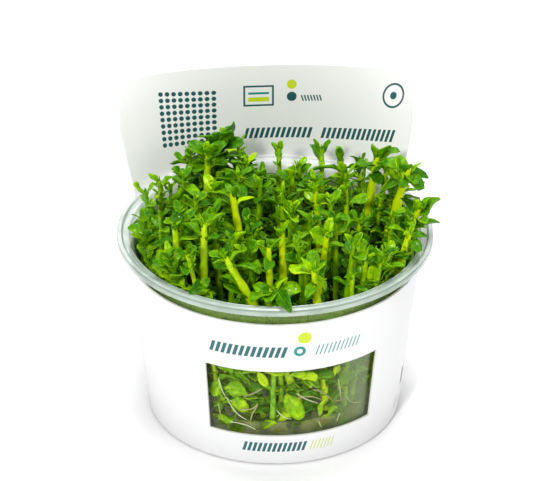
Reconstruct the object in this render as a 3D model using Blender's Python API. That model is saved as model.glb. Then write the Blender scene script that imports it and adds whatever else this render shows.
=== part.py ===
"""Aquarium stem plants in a clear growing cup, with a card sleeve and its header tab.

Metres, +Z up. The origin is the centre of the cup's underside, on the surface it stands on.
The sleeve's window faces -Y, and the header tab stands at the back, over +Y.
"""
import math
import random
from collections import namedtuple

import bmesh
import bpy
from mathutils import Vector
from mathutils.bvhtree import BVHTree

MM = 0.001

# Cup
CUP_HEIGHT = 0.0500
RIM_RADIUS = 0.0400
RIM_LIP_BOTTOM = 0.0482
RIM_LIP = 0.0006
RIM_STEP = 0.0015
RIM_ROUND = 0.0005
MOUTH_RADIUS = 0.0367
MOUTH_HEIGHT = 0.0489
THROAT = 0.0465
WALL = 0.0007
FLOOR = 0.0012
FOOT_CHAMFER = 0.0008
CUP_SIDES = 36

# Card sleeve, a plain cone with a window in front and a tab at the back
SLEEVE_FOOT = 0.0004
SLEEVE_TOP = 0.0438
SLEEVE_FOOT_RADIUS = 0.03235
SLEEVE_TOP_RADIUS = 0.0369
CARD = 0.0005
CARD_TO_CUP = 0.0004
WINDOW_BOTTOM = 0.0091
WINDOW_TOP = 0.0295
WINDOW_HALF_TURN = 37.5

# Header tab, which flares out round the rim and flattens towards its top
TAB_TURN = 176.0
TAB_HALF_WIDTH = 0.0410
TAB_TOP = 0.0745
TAB_CORNER = 0.0107
TAB_CORNER_RISE = 0.0012
TAB_FLARE_FROM = 0.0410
TAB_RIM_LEVEL = 0.0479
TAB_RADIUS = 0.0410
TAB_TOP_CURVE = 0.0900
TAB_LEAN = 5.0

# Nutrient gel in the bottom of the cup
GEL_TOP = 0.0115
GEL_MENISCUS = 0.0007
GEL_MENISCUS_WIDTH = 0.0016
GEL_FOOT_ROUND = 0.0012
GEL_TO_CUP = 0.0003
GEL_SIDES = 32

# Shoots
STEM_FOOT = GEL_TOP + GEL_MENISCUS + 0.0003
STEM_SWAY = 0.15
LEAF_THICKNESS = 0.0007
LEAF_BREADTH = 0.66
LEAF_ROOT_HEIGHT = 0.0011
STEEPEST_LEAF = 84
CLEARANCE = 0.0002
SEED = 11

# Each section of a leaf: its share of the leaf's length and its share of the leaf's breadth
LEAF_SECTIONS = ((0.14, 0.62), (0.5, 1.0), (1.0, 0.06))

# Differences from leaf to leaf: in its place on the stem, its tilt in degrees and its length
PLACE_JITTER = 0.16
TILT_JITTER = 9
LENGTH_JITTER = 0.12

# Room that a leaf keeps above the gel, inside the wall and above the rim, and its reach past the rim
GEL_ROOM = 0.0010
WALL_ROOM = 0.0004
RIM_ROOM = 0.0006
RIM_REACH = 0.0045

# The tab's neighbourhood is wider than the tab by this angle on each side
TAB_MARGIN = 0.2

# Leaves further apart than this many of their lengths can't touch
LEAF_REACH = 2.2

# Each pair of leaves: its distance below the tip, its tilt above level and its size
LEAF_PAIRS = ((0.9, 62, 0.90), (3.8, 38, 1.15), (9.0, 24, 1.20), (15.0, 12, 1.05))

# Only the shoots in front of this line carry the lowest pair
FRONT_ROWS = -0.008

# Tilts and sizes that a leaf tries in turn until it is clear of what stands round it
LEAF_TRIES = ((0, 1.0), (14, 1.0), (-14, 1.0), (24, 0.9), (-22, 0.9), (6, 0.8), (34, 0.75), (-10, 0.65),
              (18, 0.55))

# Shoots in mm: foot x and y, tip x, y and z, stem thickness, turn of the top pair, leaf length
SHOOTS = (
    (-15, 17, -10, 26, 66, 1.7, 20, 5.4),
    (-21, 17, -19, 21, 62, 1.4, 60, 5.5),
    (-16, 11, -15, 17, 63, 2.0, 110, 7.0),
    (-21, 8, -22, 12, 60, 1.4, 20, 5.5),
    (-26, 12, -28, 11, 60, 1.4, 160, 5.0),
    (-28, 3, -32, 7, 59, 1.4, 0, 5.5),
    (0, 22, -6, 25, 61, 1.3, 30, 5.0),
    (-3, 11, -2, 10, 60, 1.5, 80, 5.5),
    (6, 17, 4, 22, 61, 1.5, 172, 5.0),
    (7, 9, 6, 11, 59, 1.4, 40, 5.5),
    (12, 6, 11, 6, 60, 1.4, 100, 5.5),
    (15, 15, 15, 20, 61, 1.6, 0, 5.5),
    (20, 13, 19, 15, 61, 1.5, 75, 6.0),
    (25, 12, 24, 15, 60, 1.3, 0, 4.5),
    (21, 5, 28, 12, 62, 2.4, 10, 6.5),
    (23, 0, 34, 1, 64, 2.6, 20, 6.0),
    (28, 8, 32, 6, 60, 1.4, 130, 5.0),
    (25, -7, 35, -9, 58, 2.1, 15, 7.0),
    (22, -15, 31, -18, 56, 1.9, 60, 4.5),
    (16, -24, 23, -26, 55, 1.5, 20, 6.0),
    (28, -11, 32, -13, 57, 1.5, 100, 5.5),
    (6, -8, 7, -12, 59, 1.5, 140, 6.0),
    (13, -2, 10, -1, 61, 1.9, 30, 6.0),
    (7, -14, 10, -20, 59, 1.8, 80, 5.5),
    (9, -27, 5, -31, 55, 2.2, 150, 6.5),
    (13, -20, 16, -24, 58, 1.5, 10, 5.5),
    (17, -21, 19, -25, 56, 1.5, 120, 5.5),
    (22, -20, 25, -22, 54, 1.4, 40, 6.0),
    (-21, -19, -20, -16, 62, 2.2, 30, 6.0),
    (-25, -14, -27, -13, 60, 1.9, 80, 6.0),
    (-17, -23, -25, -22, 57, 1.4, 150, 5.5),
    (-28, -8, -30, -7, 60, 1.5, 10, 5.5),
    (-29, -2, -34, -5, 57, 1.5, 50, 5.5),
    (-25, -17, -29, -19, 56, 1.4, 100, 5.5),
    (3, -28, -16, -25, 57, 2.3, 45, 6.5),
    (-5, -6, -11, 0, 61, 2.2, 110, 6.0),
    (-4, -23, -5, -23, 58, 1.9, 0, 5.5),
    (0, -19, -1, -18, 59, 2.1, 60, 6.0),
    (-4, -17, -10, -19, 55, 1.3, 20, 6.0),
    (-5, 6, -3, 5, 60, 1.5, 150, 5.0),
    (2, -5, 3, -7, 60, 1.4, 0, 5.5),
    (19, -2, 18, 0, 60, 1.5, 60, 5.5),
    (14, -13, 13, -14, 59, 1.5, 120, 6.0),
    (-14, -9, -17, -9, 61, 1.6, 45, 6.0),
    (-5, -12, -9, -13, 60, 1.4, 90, 5.5),
    (-23, -5, -25, -8, 61, 1.4, 120, 5.5),
    (-9, 9, -8, 9, 61, 1.5, 10, 6.5),
    (17, -9, 20, -10, 56, 1.6, 140, 5.5),
    (6, -21, 2, -25, 58, 1.4, 100, 5.5),
    (-19, -1, -20, 1, 59, 1.5, 0, 5.5),
    (-14, -18, -13, -16, 57, 1.5, 140, 5.5),
    (3, 2, 2, 2, 59, 1.5, 70, 6.0),
    (-4, 16, -5, 17, 60, 1.5, 20, 6.0),
    (-14, 3, -15, 5, 60, 1.5, 120, 6.0),
    (12, -8, 13, -7, 60, 1.5, 45, 6.0),
)

Stem = namedtuple("Stem", "foot bend tip radius turn leaf_length jitter")
Leaf = namedtuple("Leaf", "stem pair side root along across up length width")


def clear_scene():
    """Remove whatever the open file holds."""
    for thing in list(bpy.data.objects):
        bpy.data.objects.remove(thing, do_unlink=True)


def material(name, colour, roughness, transmission=0.0):
    """Give a Principled material of one plain colour."""
    made = bpy.data.materials.new(name)
    made.use_nodes = True
    shader = made.node_tree.nodes["Principled BSDF"]
    shader.inputs["Base Color"].default_value = (*colour, 1.0)
    shader.inputs["Roughness"].default_value = roughness
    shader.inputs["Metallic"].default_value = 0.0
    shader.inputs["Transmission Weight"].default_value = transmission
    made.diffuse_color = (*colour, 1.0)
    return made


def add_object(name, mesh, finish):
    """Put a mesh in the scene under its node's name."""
    thing = bpy.data.objects.new(name, mesh)
    bpy.context.scene.collection.objects.link(thing)
    mesh.materials.append(finish)
    return thing


def turned(name, profile, sides, finish):
    """Turn a profile of (radius, height) points, listed up the outside and down the inside."""
    bm = bmesh.new()
    points = [bm.verts.new((radius, 0.0, height)) for radius, height in profile]
    edges = [bm.edges.new(pair) for pair in zip(points, points[1:])]
    bmesh.ops.spin(bm, geom=points + edges, cent=(0, 0, 0), axis=(0, 0, 1), angle=math.tau,
                   steps=sides, use_merge=True)
    bmesh.ops.remove_doubles(bm, verts=bm.verts, dist=1e-6)
    bmesh.ops.recalc_face_normals(bm, faces=bm.faces)
    mesh = bpy.data.meshes.new(name)
    bm.to_mesh(mesh)
    bm.free()
    mesh.shade_smooth()
    mesh.set_sharp_from_angle(angle=math.radians(30))
    return add_object(name, mesh, finish)


def sleeve_radius(height):
    """Give the radius of the sleeve's outer face at a height."""
    slope = (SLEEVE_TOP_RADIUS - SLEEVE_FOOT_RADIUS) / SLEEVE_TOP
    return SLEEVE_FOOT_RADIUS + slope * height


def wall_radius(height):
    """Give the radius of the cup wall's outer face at a height."""
    return sleeve_radius(height) - CARD - CARD_TO_CUP


def make_cup():
    """Turn the cup: a tapered wall and a stepped rim whose lip turns down."""
    base = wall_radius(0) - WALL
    step = RIM_RADIUS - RIM_STEP
    profile = [
        (0, 0), (base, 0), (wall_radius(FOOT_CHAMFER), FOOT_CHAMFER),
        (wall_radius(THROAT), THROAT),
        (MOUTH_RADIUS + 0.0003, MOUTH_HEIGHT - 0.0008), (step - 0.0002, MOUTH_HEIGHT - 0.0006),
        (step + 0.0003, CUP_HEIGHT - 0.0008), (RIM_RADIUS - RIM_LIP, CUP_HEIGHT - 0.0009),
        (RIM_RADIUS - RIM_LIP, RIM_LIP_BOTTOM), (RIM_RADIUS, RIM_LIP_BOTTOM),
        (RIM_RADIUS, CUP_HEIGHT - RIM_ROUND), (RIM_RADIUS - RIM_ROUND, CUP_HEIGHT),
        (step, CUP_HEIGHT - 0.0001), (step - RIM_ROUND, MOUTH_HEIGHT + 0.0001), (MOUTH_RADIUS, MOUTH_HEIGHT),
        (wall_radius(THROAT) - WALL, THROAT),
        (wall_radius(FLOOR) - WALL, FLOOR + 0.0004), (base - WALL, FLOOR), (0, FLOOR),
    ]
    return turned("cup", profile, CUP_SIDES, material("clear plastic", (0.90, 0.93, 0.92), 0.15, 0.8))


def room_radius(height):
    """Give the radius of the room inside the cup at a height."""
    return wall_radius(height) - WALL


def make_gel():
    """Turn the gel, which climbs a little where it meets the wall."""
    low = FLOOR + GEL_TO_CUP
    edge = room_radius(low) - GEL_TO_CUP
    top_edge = room_radius(GEL_TOP) - GEL_TO_CUP
    profile = [
        (0, low), (edge - GEL_FOOT_ROUND, low), (edge, low + GEL_FOOT_ROUND),
        (top_edge, GEL_TOP + GEL_MENISCUS), (top_edge - GEL_MENISCUS_WIDTH, GEL_TOP), (0, GEL_TOP),
    ]
    return turned("culture_gel", profile, GEL_SIDES, material("gel", (0.55, 0.50, 0.38), 0.2, 0.4))


def tab_columns():
    """Give the tab's places across, from its middle: even steps, then closer round its corner."""
    inner = TAB_HALF_WIDTH - TAB_CORNER
    places = [inner * step / 4 for step in range(4)]
    places += [inner + TAB_CORNER * math.sin(math.radians(turn)) for turn in (0, 30, 60, 90)]
    return [-place for place in reversed(places[1:])] + places


def tab_edge(place):
    """Give the height of the tab's edge at a place across it."""
    past = max(0.0, abs(place) - (TAB_HALF_WIDTH - TAB_CORNER))
    return TAB_TOP - TAB_CORNER + math.sqrt(max(0.0, TAB_CORNER ** 2 - past ** 2))


def tab_point(place, height):
    """Give a point on the tab's outer face, at or above the level of the rim."""
    rise = (height - TAB_RIM_LEVEL) / (TAB_TOP - TAB_RIM_LEVEL)
    curve = (1 - rise) / TAB_RADIUS + rise / TAB_TOP_CURVE
    across = math.sin(curve * place) / curve
    back = TAB_RADIUS + math.tan(math.radians(TAB_LEAN)) * (height - TAB_RIM_LEVEL)
    back -= (1 - math.cos(curve * place)) / curve
    lift = TAB_CORNER_RISE * rise * (place / TAB_HALF_WIDTH) ** 2
    turn = math.radians(180 - TAB_TURN)
    return Vector((back * math.sin(turn) - across * math.cos(turn),
                   back * math.cos(turn) + across * math.sin(turn), height + lift))


def ring_point(turn, radius, height):
    """Give a point at a turn in degrees from -Y towards +X."""
    angle = math.radians(turn)
    return Vector((radius * math.sin(angle), -radius * math.cos(angle), height))


def spread(start, end, count):
    """Give the places between two turns, without the two."""
    return [start + (end - start) * step / count for step in range(1, count)]


def sleeve_columns():
    """List the sleeve's columns as (turn, place on the tab or None), once round."""
    window = [WINDOW_HALF_TURN * step / 5 for step in range(-5, 6)]
    tab = [(TAB_TURN + math.degrees(place / TAB_RADIUS), place) for place in tab_columns()]
    columns = [(turn, None) for turn in window]
    columns += [(turn, None) for turn in spread(WINDOW_HALF_TURN, tab[0][0], 9)]
    columns += tab
    columns += [(turn, None) for turn in spread(tab[-1][0], 360 - WINDOW_HALF_TURN, 10)]
    return columns


def sleeve_column(turn, place):
    """Give a column of points up the sleeve's outer face, and on up the tab where it stands."""
    heights = (SLEEVE_FOOT, WINDOW_BOTTOM, WINDOW_TOP, TAB_FLARE_FROM)
    points = [ring_point(turn, sleeve_radius(height), height) for height in heights]
    if place is None:
        points.append(ring_point(turn, SLEEVE_TOP_RADIUS, SLEEVE_TOP))
        return points
    share = (SLEEVE_TOP - TAB_FLARE_FROM) / (TAB_RIM_LEVEL - TAB_FLARE_FROM)
    points.append(points[-1].lerp(tab_point(place, TAB_RIM_LEVEL), share))
    edge = tab_edge(place)
    for step in range(5):
        points.append(tab_point(place, TAB_RIM_LEVEL + (edge - TAB_RIM_LEVEL) * step / 4))
    return points


def make_sleeve():
    """Lay the card as a sheet round the cup, leave its window out and give it its thickness."""
    bm = bmesh.new()
    columns = sleeve_columns()
    rows = [[bm.verts.new(point) for point in sleeve_column(*column)] for column in columns]
    for index, left in enumerate(rows):
        right = rows[(index + 1) % len(rows)]
        in_window = columns[index][0] < WINDOW_HALF_TURN - 1
        for level in range(min(len(left), len(right)) - 1):
            if level == 1 and in_window:
                continue
            bm.faces.new((left[level], right[level], right[level + 1], left[level + 1]))
    mesh = bpy.data.meshes.new("card_sleeve")
    bm.to_mesh(mesh)
    bm.free()
    mesh.shade_smooth()
    sleeve = add_object("card_sleeve", mesh, material("white card", (0.92, 0.92, 0.93), 0.55))
    solid = sleeve.modifiers.new("thickness", "SOLIDIFY")
    solid.thickness = CARD
    solid.offset = -1
    return sleeve


def plan_stems():
    """Turn the list of shoots into stems, each with its own small differences."""
    stems = []
    for number, row in enumerate(SHOOTS):
        foot_x, foot_y, tip_x, tip_y, tip_z, thickness, turn, leaf_length = row
        foot = Vector((foot_x * MM, foot_y * MM, STEM_FOOT))
        tip = Vector((tip_x * MM, tip_y * MM, tip_z * MM))
        bend = foot.lerp(tip, 0.5)
        bend.xy = bend.xy.lerp(foot.xy, STEM_SWAY * 2)
        chance = random.Random(SEED + number)
        jitter = [chance.uniform(-1, 1) for _ in range(4 * len(LEAF_PAIRS))]
        stems.append(Stem(foot, bend, tip, thickness * MM / 2, math.radians(turn), leaf_length * MM, jitter))
    return stems


def stem_point(stem, share):
    """Give a point on the stem's middle line, from 0 at its foot to 1 at its tip."""
    return stem.foot.lerp(stem.bend, share).lerp(stem.bend.lerp(stem.tip, share), share)


def stem_axes(stem, share):
    """Give the stem's direction and the two directions that its leaves point in."""
    along = (stem.bend.lerp(stem.tip, share) - stem.foot.lerp(stem.bend, share)).normalized()
    facing = Vector((math.cos(stem.turn), math.sin(stem.turn), 0.0))
    first = (facing - along * facing.dot(along)).normalized()
    return along, first, along.cross(first)


def pair_count(stem):
    """Give the number of pairs of leaves on a stem."""
    return len(LEAF_PAIRS) - (stem.foot.y > FRONT_ROWS)


def pair_share(stem, pair):
    """Give the place of a pair of leaves on its stem."""
    drop = LEAF_PAIRS[pair][0] * (1 + PLACE_JITTER * stem.jitter[4 * pair])
    return 1 - drop * MM / (stem.tip - stem.foot).length


def shape_leaf(stem, pair, side, tilt, size):
    """Work out a leaf from its place on the stem, its tilt above level and its size."""
    share = pair_share(stem, pair)
    along, first, second = stem_axes(stem, share)
    out = (first if pair % 2 == 0 else second) * side
    lift = LEAF_PAIRS[pair][1] + tilt + TILT_JITTER * stem.jitter[4 * pair + 1 + (side > 0)]
    lift = math.radians(min(lift, STEEPEST_LEAF))
    length = stem.leaf_length * LEAF_PAIRS[pair][2] * size
    length *= 1 + LENGTH_JITTER * stem.jitter[4 * pair + 3]
    forward = out * math.cos(lift) + along * math.sin(lift)
    upper = along * math.cos(lift) - out * math.sin(lift)
    root = stem_point(stem, share) + out * stem.radius
    return Leaf(stem, pair, side, root, forward, upper.cross(forward), upper, length, LEAF_BREADTH * length)


def leaf_sections(leaf, extra=0.0):
    """Give the corners of a leaf's root, widest part and tip, swollen by a clearance."""
    sections = []
    for place, width in LEAF_SECTIONS:
        middle = leaf.root + leaf.along * leaf.length * place
        half = leaf.across * (leaf.width * width / 2 + extra)
        thick = leaf.up * (LEAF_THICKNESS / 2 + extra)
        sections.append([middle - half - thick, middle + half - thick,
                         middle + half + thick, middle - half + thick])
    return sections


def tube_faces(rings):
    """List the faces of a closed tube whose rings have four corners."""
    faces = [(3, 2, 1, 0)]
    for ring in range(rings - 1):
        low, high = 4 * ring, 4 * ring + 4
        faces += [(low + k, low + (k + 1) % 4, high + (k + 1) % 4, high + k) for k in range(4)]
    faces.append(tuple(range(4 * rings - 4, 4 * rings)))
    return faces


def tree_of(rings):
    """Make a search tree of a tube, for finding what touches it."""
    corners = [corner for ring in rings for corner in ring]
    return BVHTree.FromPolygons(corners, tube_faces(len(rings)))


def stem_ring(stem, share, reach):
    """Give the four corners of the stem, whose flat sides face where its leaves point."""
    along, first, second = stem_axes(stem, share)
    middle = stem_point(stem, share)
    return [middle + first * x * reach + second * y * reach
            for x, y in ((1, -1), (1, 1), (-1, 1), (-1, -1))]


def stem_tree(stem):
    """Make a search tree of a whole stem with its clearance."""
    shares = [share for share, pair in stem_levels(stem)] + [1.0]
    return tree_of([stem_ring(stem, share, stem.radius + CLEARANCE) for share in shares])


def has_room(point):
    """Say whether a leaf's corner is clear of the gel, the wall, the rim and the tab."""
    radius = point.xy.length
    if point.z < CUP_HEIGHT + RIM_ROOM:
        mouth = min(room_radius(point.z), MOUTH_RADIUS)
        return point.z > STEM_FOOT + GEL_ROOM and radius < mouth - WALL_ROOM
    at_tab = point.y > TAB_RADIUS * math.cos(TAB_HALF_WIDTH / TAB_RADIUS + TAB_MARGIN)
    return radius < RIM_RADIUS + (-WALL_ROOM if at_tab else RIM_REACH)


def is_clear(leaf, tree, stems, stem_trees, grown):
    """Say whether a leaf keeps clear of the cup, of other stems and of the leaves grown so far."""
    corners = [corner for section in leaf_sections(leaf)[1:] for corner in section]
    if not all(has_room(corner) for corner in corners):
        return False
    for stem, other in zip(stems, stem_trees):
        if stem is not leaf.stem and tree.overlap(other):
            return False
    near = leaf.length * LEAF_REACH
    return not any((leaf.root - other.root).length < near and tree.overlap(grown_tree)
                   for other, grown_tree in grown)


def grow_leaves(stems):
    """Grow pair after pair on every stem, each leaf in the first shape that is clear."""
    stem_trees = [stem_tree(stem) for stem in stems]
    grown = []
    for pair in range(len(LEAF_PAIRS)):
        for stem in stems:
            if pair >= pair_count(stem):
                continue
            for side in (1, -1):
                for tilt, size in LEAF_TRIES:
                    leaf = shape_leaf(stem, pair, side, tilt, size)
                    tree = tree_of(leaf_sections(leaf, CLEARANCE))
                    if is_clear(leaf, tree, stems, stem_trees, grown):
                        grown.append((leaf, tree))
                        break
    return [leaf for leaf, tree in grown]


def stem_levels(stem):
    """List the stem's rings as (share, pair), with two rings where a pair of leaves grows."""
    length = (stem.tip - stem.foot).length
    half = LEAF_ROOT_HEIGHT / 2 / length
    levels = [(0.0, None)]
    for pair in reversed(range(pair_count(stem))):
        share = min(pair_share(stem, pair), 1 - 1.2 * half)
        levels += [(share - half, pair), (share + half, None)]
    return levels


def make_shoot(name, stem, leaves, finish):
    """Build a square stem and draw each leaf out of its side, so that a shoot is one solid."""
    bm = bmesh.new()
    by_place = {(leaf.pair, leaf.side): leaf for leaf in leaves if leaf.stem is stem}
    levels = stem_levels(stem)
    rings = [[bm.verts.new(corner) for corner in stem_ring(stem, share, stem.radius)]
             for share, pair in levels]
    bm.faces.new(reversed(rings[0]))
    for low, high, (share, pair) in zip(rings, rings[1:], levels):
        for k in range(4):
            face = (low[k], low[(k + 1) % 4], high[(k + 1) % 4], high[k])
            leaf = by_place.get((pair, 1 if k in (0, 1) else -1)) if leaf_side(pair, k) else None
            if leaf is None:
                bm.faces.new(face)
            else:
                draw_leaf(bm, face, leaf)
    tip = bm.verts.new(stem_point(stem, 1.0) + stem_axes(stem, 1.0)[0] * stem.radius)
    for k in range(4):
        bm.faces.new((rings[-1][k], rings[-1][(k + 1) % 4], tip))
    mesh = bpy.data.meshes.new(name)
    bm.to_mesh(mesh)
    bm.free()
    return add_object(name, mesh, finish)


def leaf_side(pair, k):
    """Say whether side k of the stem is one that this pair of leaves grows from."""
    return pair is not None and k % 2 == pair % 2


def draw_leaf(bm, root, leaf):
    """Draw a leaf out of a side of the stem: to its widest part, then to its tip."""
    widest = [bm.verts.new(corner) for corner in leaf_sections(leaf)[1]]
    tip = bm.verts.new(leaf.root + leaf.along * leaf.length)
    for k in range(4):
        after = (k + 1) % 4
        bm.faces.new((root[k], root[after], widest[after], widest[k]))
        bm.faces.new((widest[k], widest[after], tip))


def make_shoots():
    """Build every shoot with the leaves that found room."""
    stems = plan_stems()
    leaves = grow_leaves(stems)
    green = material("green shoot", (0.16, 0.36, 0.03), 0.4)
    for number, stem in enumerate(stems, start=1):
        make_shoot(f"shoot_{number:02d}", stem, leaves, green)


def main():
    """Build the cup, its sleeve, the gel and the shoots."""
    clear_scene()
    make_cup()
    make_sleeve()
    make_gel()
    make_shoots()


main()
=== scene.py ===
import math
import random
from collections import namedtuple

import bpy
from mathutils import Matrix, Vector


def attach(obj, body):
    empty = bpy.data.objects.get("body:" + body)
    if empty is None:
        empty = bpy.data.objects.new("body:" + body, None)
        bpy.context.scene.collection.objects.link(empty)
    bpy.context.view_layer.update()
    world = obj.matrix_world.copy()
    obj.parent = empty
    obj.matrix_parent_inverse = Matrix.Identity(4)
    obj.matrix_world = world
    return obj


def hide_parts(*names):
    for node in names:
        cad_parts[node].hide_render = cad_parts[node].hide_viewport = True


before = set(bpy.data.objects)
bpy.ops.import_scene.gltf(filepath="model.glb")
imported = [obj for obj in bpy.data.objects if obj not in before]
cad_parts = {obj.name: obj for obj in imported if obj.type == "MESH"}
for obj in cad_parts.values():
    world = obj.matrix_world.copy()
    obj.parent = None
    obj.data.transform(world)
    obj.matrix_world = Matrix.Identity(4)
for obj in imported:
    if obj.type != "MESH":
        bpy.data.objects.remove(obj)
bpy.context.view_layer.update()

MM = 0.001

# Camera, fitted to the photograph
PICTURE_WIDTH = 560
FOCAL_PIXELS = 3160
SENSOR_WIDTH = 36
CAMERA_DISTANCE = 0.800
CAMERA_ELEVATION = math.radians(29.9)
CAMERA_AZIMUTH = math.radians(-8.7)
CAMERA_ROLL = math.radians(0.39)
AIM_RIGHT = 0.00128
AIM_HEIGHT = 0.0465

# Cup
CUP_HEIGHT = 0.0500
RIM_RADIUS = 0.0400
RIM_LIP_BOTTOM = 0.0482
RIM_LIP = 0.0006
MOUTH_RADIUS = 0.0367
THROAT = 0.0465
WALL = 0.0007
FLOOR = 0.0012
GROOVE_RADIUS = 0.0386
LIP_SHADE_HEIGHT = 0.0495
REFLECTION_HAZE_END = 35.5
CUP_SIDES = 144
BASE_INSET = 0.0007
RIM_STEP = 0.0015
MILKY_FROM = THROAT + 0.0010

# Radius of the last disc in the middle of a turned floor
HUB = 0.010

# Looks of the cup: the turns in degrees over which its haze of painted reflection comes in, the heights over
# which its moist band comes in, the height from which the wall is palest, and the level over which the rim's
# top has its painted shade lines
REFLECTION_HAZE_RISE = (14, 30)
MOIST_RISE = (0.0415, 0.0440)
CLEAR_FROM = 0.040
RIM_TOP_FROM = 0.0485

# Angles in degrees over which the edges of turned pieces, the card and the rods stay sharp
SHARP_TURNED = 35
SHARP_CARD = 40
SHARP_ROD = 75

# Card sleeve, a plain cone with a window in front and a tab at the back
SLEEVE_FOOT = 0.0004
SLEEVE_TOP = 0.0438
SLEEVE_FOOT_RADIUS = 0.03235
SLEEVE_TOP_RADIUS = 0.0369
CARD = 0.0005
CARD_TO_CUP = 0.0004
WINDOW_BOTTOM = 0.0091
WINDOW_TOP = 0.0295
WINDOW_HALF_TURN = 37.5

# Header tab, which flares out round the rim and flattens towards its top
TAB_TURN = 176.0
TAB_HALF_WIDTH = 0.0410
TAB_TOP = 0.0745
TAB_CORNER = 0.0107
TAB_CORNER_RISE = 0.0012
TAB_FLARE_FROM = 0.0410
TAB_RIM_LEVEL = 0.0479
TAB_RADIUS = 0.0410
TAB_TOP_CURVE = 0.0900
TAB_LEAN = 5.0
TAB_HALF_TURN = math.degrees(TAB_HALF_WIDTH / TAB_RADIUS)
FLARE_FADE = 8

# The card's flat map: degrees across and mm up, and what a degree measures in mm on each face
MAP_TURN = 360
MAP_HEIGHT = 100
FRONT_DEGREE = 0.622
TAB_DEGREE = math.radians(TAB_RADIUS) / MM

# Shares of the map's height over which the card's inner face turns from a painted green shade, standing in
# for the plants' shade inside the cup, to white
INSIDE_SHADE_FADE = (0.40, 0.465)

# The tab's print dips by this many mm at this many mm from its middle
PRINT_DIP = 2.6
PRINT_DIP_AT = 32

# Patch of dots on the tab, in mm: left, low edge, pitch across and pitch up
DOTS = 9
DOTS_LEFT, DOTS_LOW = 12.2, 53.6
DOT_ACROSS, DOT_UP = 1.84, 1.61

# Grids of the flat card, and the directions that its cuts run across
BODY_GRID = (144, 15)
TAB_GRID = (96, 18)
LEVEL_CUT = (0, 1, 0)
UPRIGHT_CUT = (1, 0, 0)

# Nutrient gel in the bottom of the cup
GEL_TOP = 0.0115
GEL_MENISCUS = 0.0007
GEL_TO_CUP = 0.0003
GEL_EDGE = 0.0012
GEL_SIDES = 96

# Shoots
STEM_FOOT = GEL_TOP + GEL_MENISCUS + 0.0003
STEM_SWAY = 0.15
ROD_SIDES = 10
ROD_RINGS = 28
STEEPEST_LEAF = 84
LEAF_BREADTH = 0.62
LEAF_THICKNESS = 0.055
LEAF_COLUMNS = 4
AT_ROW = 0.01
SEED = 11
UP = Vector((0, 0, 1))

# A stem's thickness as a share of its row's, its swelling at a node and the draw-in of its tip
STEM_SHARE = 0.94
NODE_SWELL = 0.24
NODE_REACH = 0.0010
TIP_TAPER = 0.4

# How much each copy of a leaf may twist, curl, sweep aside, wave and narrow
LEAF_TWIST = 0.6
LEAF_CURL = (-0.35, 0.12)
LEAF_SWEEP = 0.14
LEAF_WAVE = 0.11
NARROWEST = 0.72

# Room that leaves keep to the wall, over the gel and rim, and over the floor
WALL_GAP = 0.0004
LEVEL_GAP = 0.0006
FLOOR_GAP = 0.0010

# How far leaves may reach past the rim, but not at the tab, nor this many radians beside it
RIM_REACH = 0.0045
TAB_SIDE = 0.2

# Each pair of leaves: its distance below the tip in mm, its tilt above level and its size
LEAF_PAIRS = ((0.9, 62, 0.85), (3.8, 38, 1.05), (9.0, 24, 1.00), (15.0, 12, 0.85), (21.5, 4, 0.80),
              (28.5, -4, 0.75), (2.2, 50, 0.75), (6.2, 30, 0.90), (11.8, 18, 0.85), (18.0, 8, 0.80))

# Pairs from this one on grow only on the bushy shoots
BUSHY_PAIRS = 6
BUSHY_SHOOTS = (1, 2, 3, 4, 5, 7, 8, 13, 14, 17, 20, 21, 27, 33, 34, 39, 41, 42, 44, 46, 47, 48, 50, 51,
                53, 54)

# Shoots whose top is a crown of chosen leaves alone, down to this many mm below the tip
CROWNED_SHOOTS = (1,)
CROWN_DEPTH = 10

# Shoots whose stems are bright yellow green
BRIGHT_STEMS = (3, 15, 16, 18, 19, 23, 24, 25, 29, 30, 31, 35, 36, 37, 38)

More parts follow.
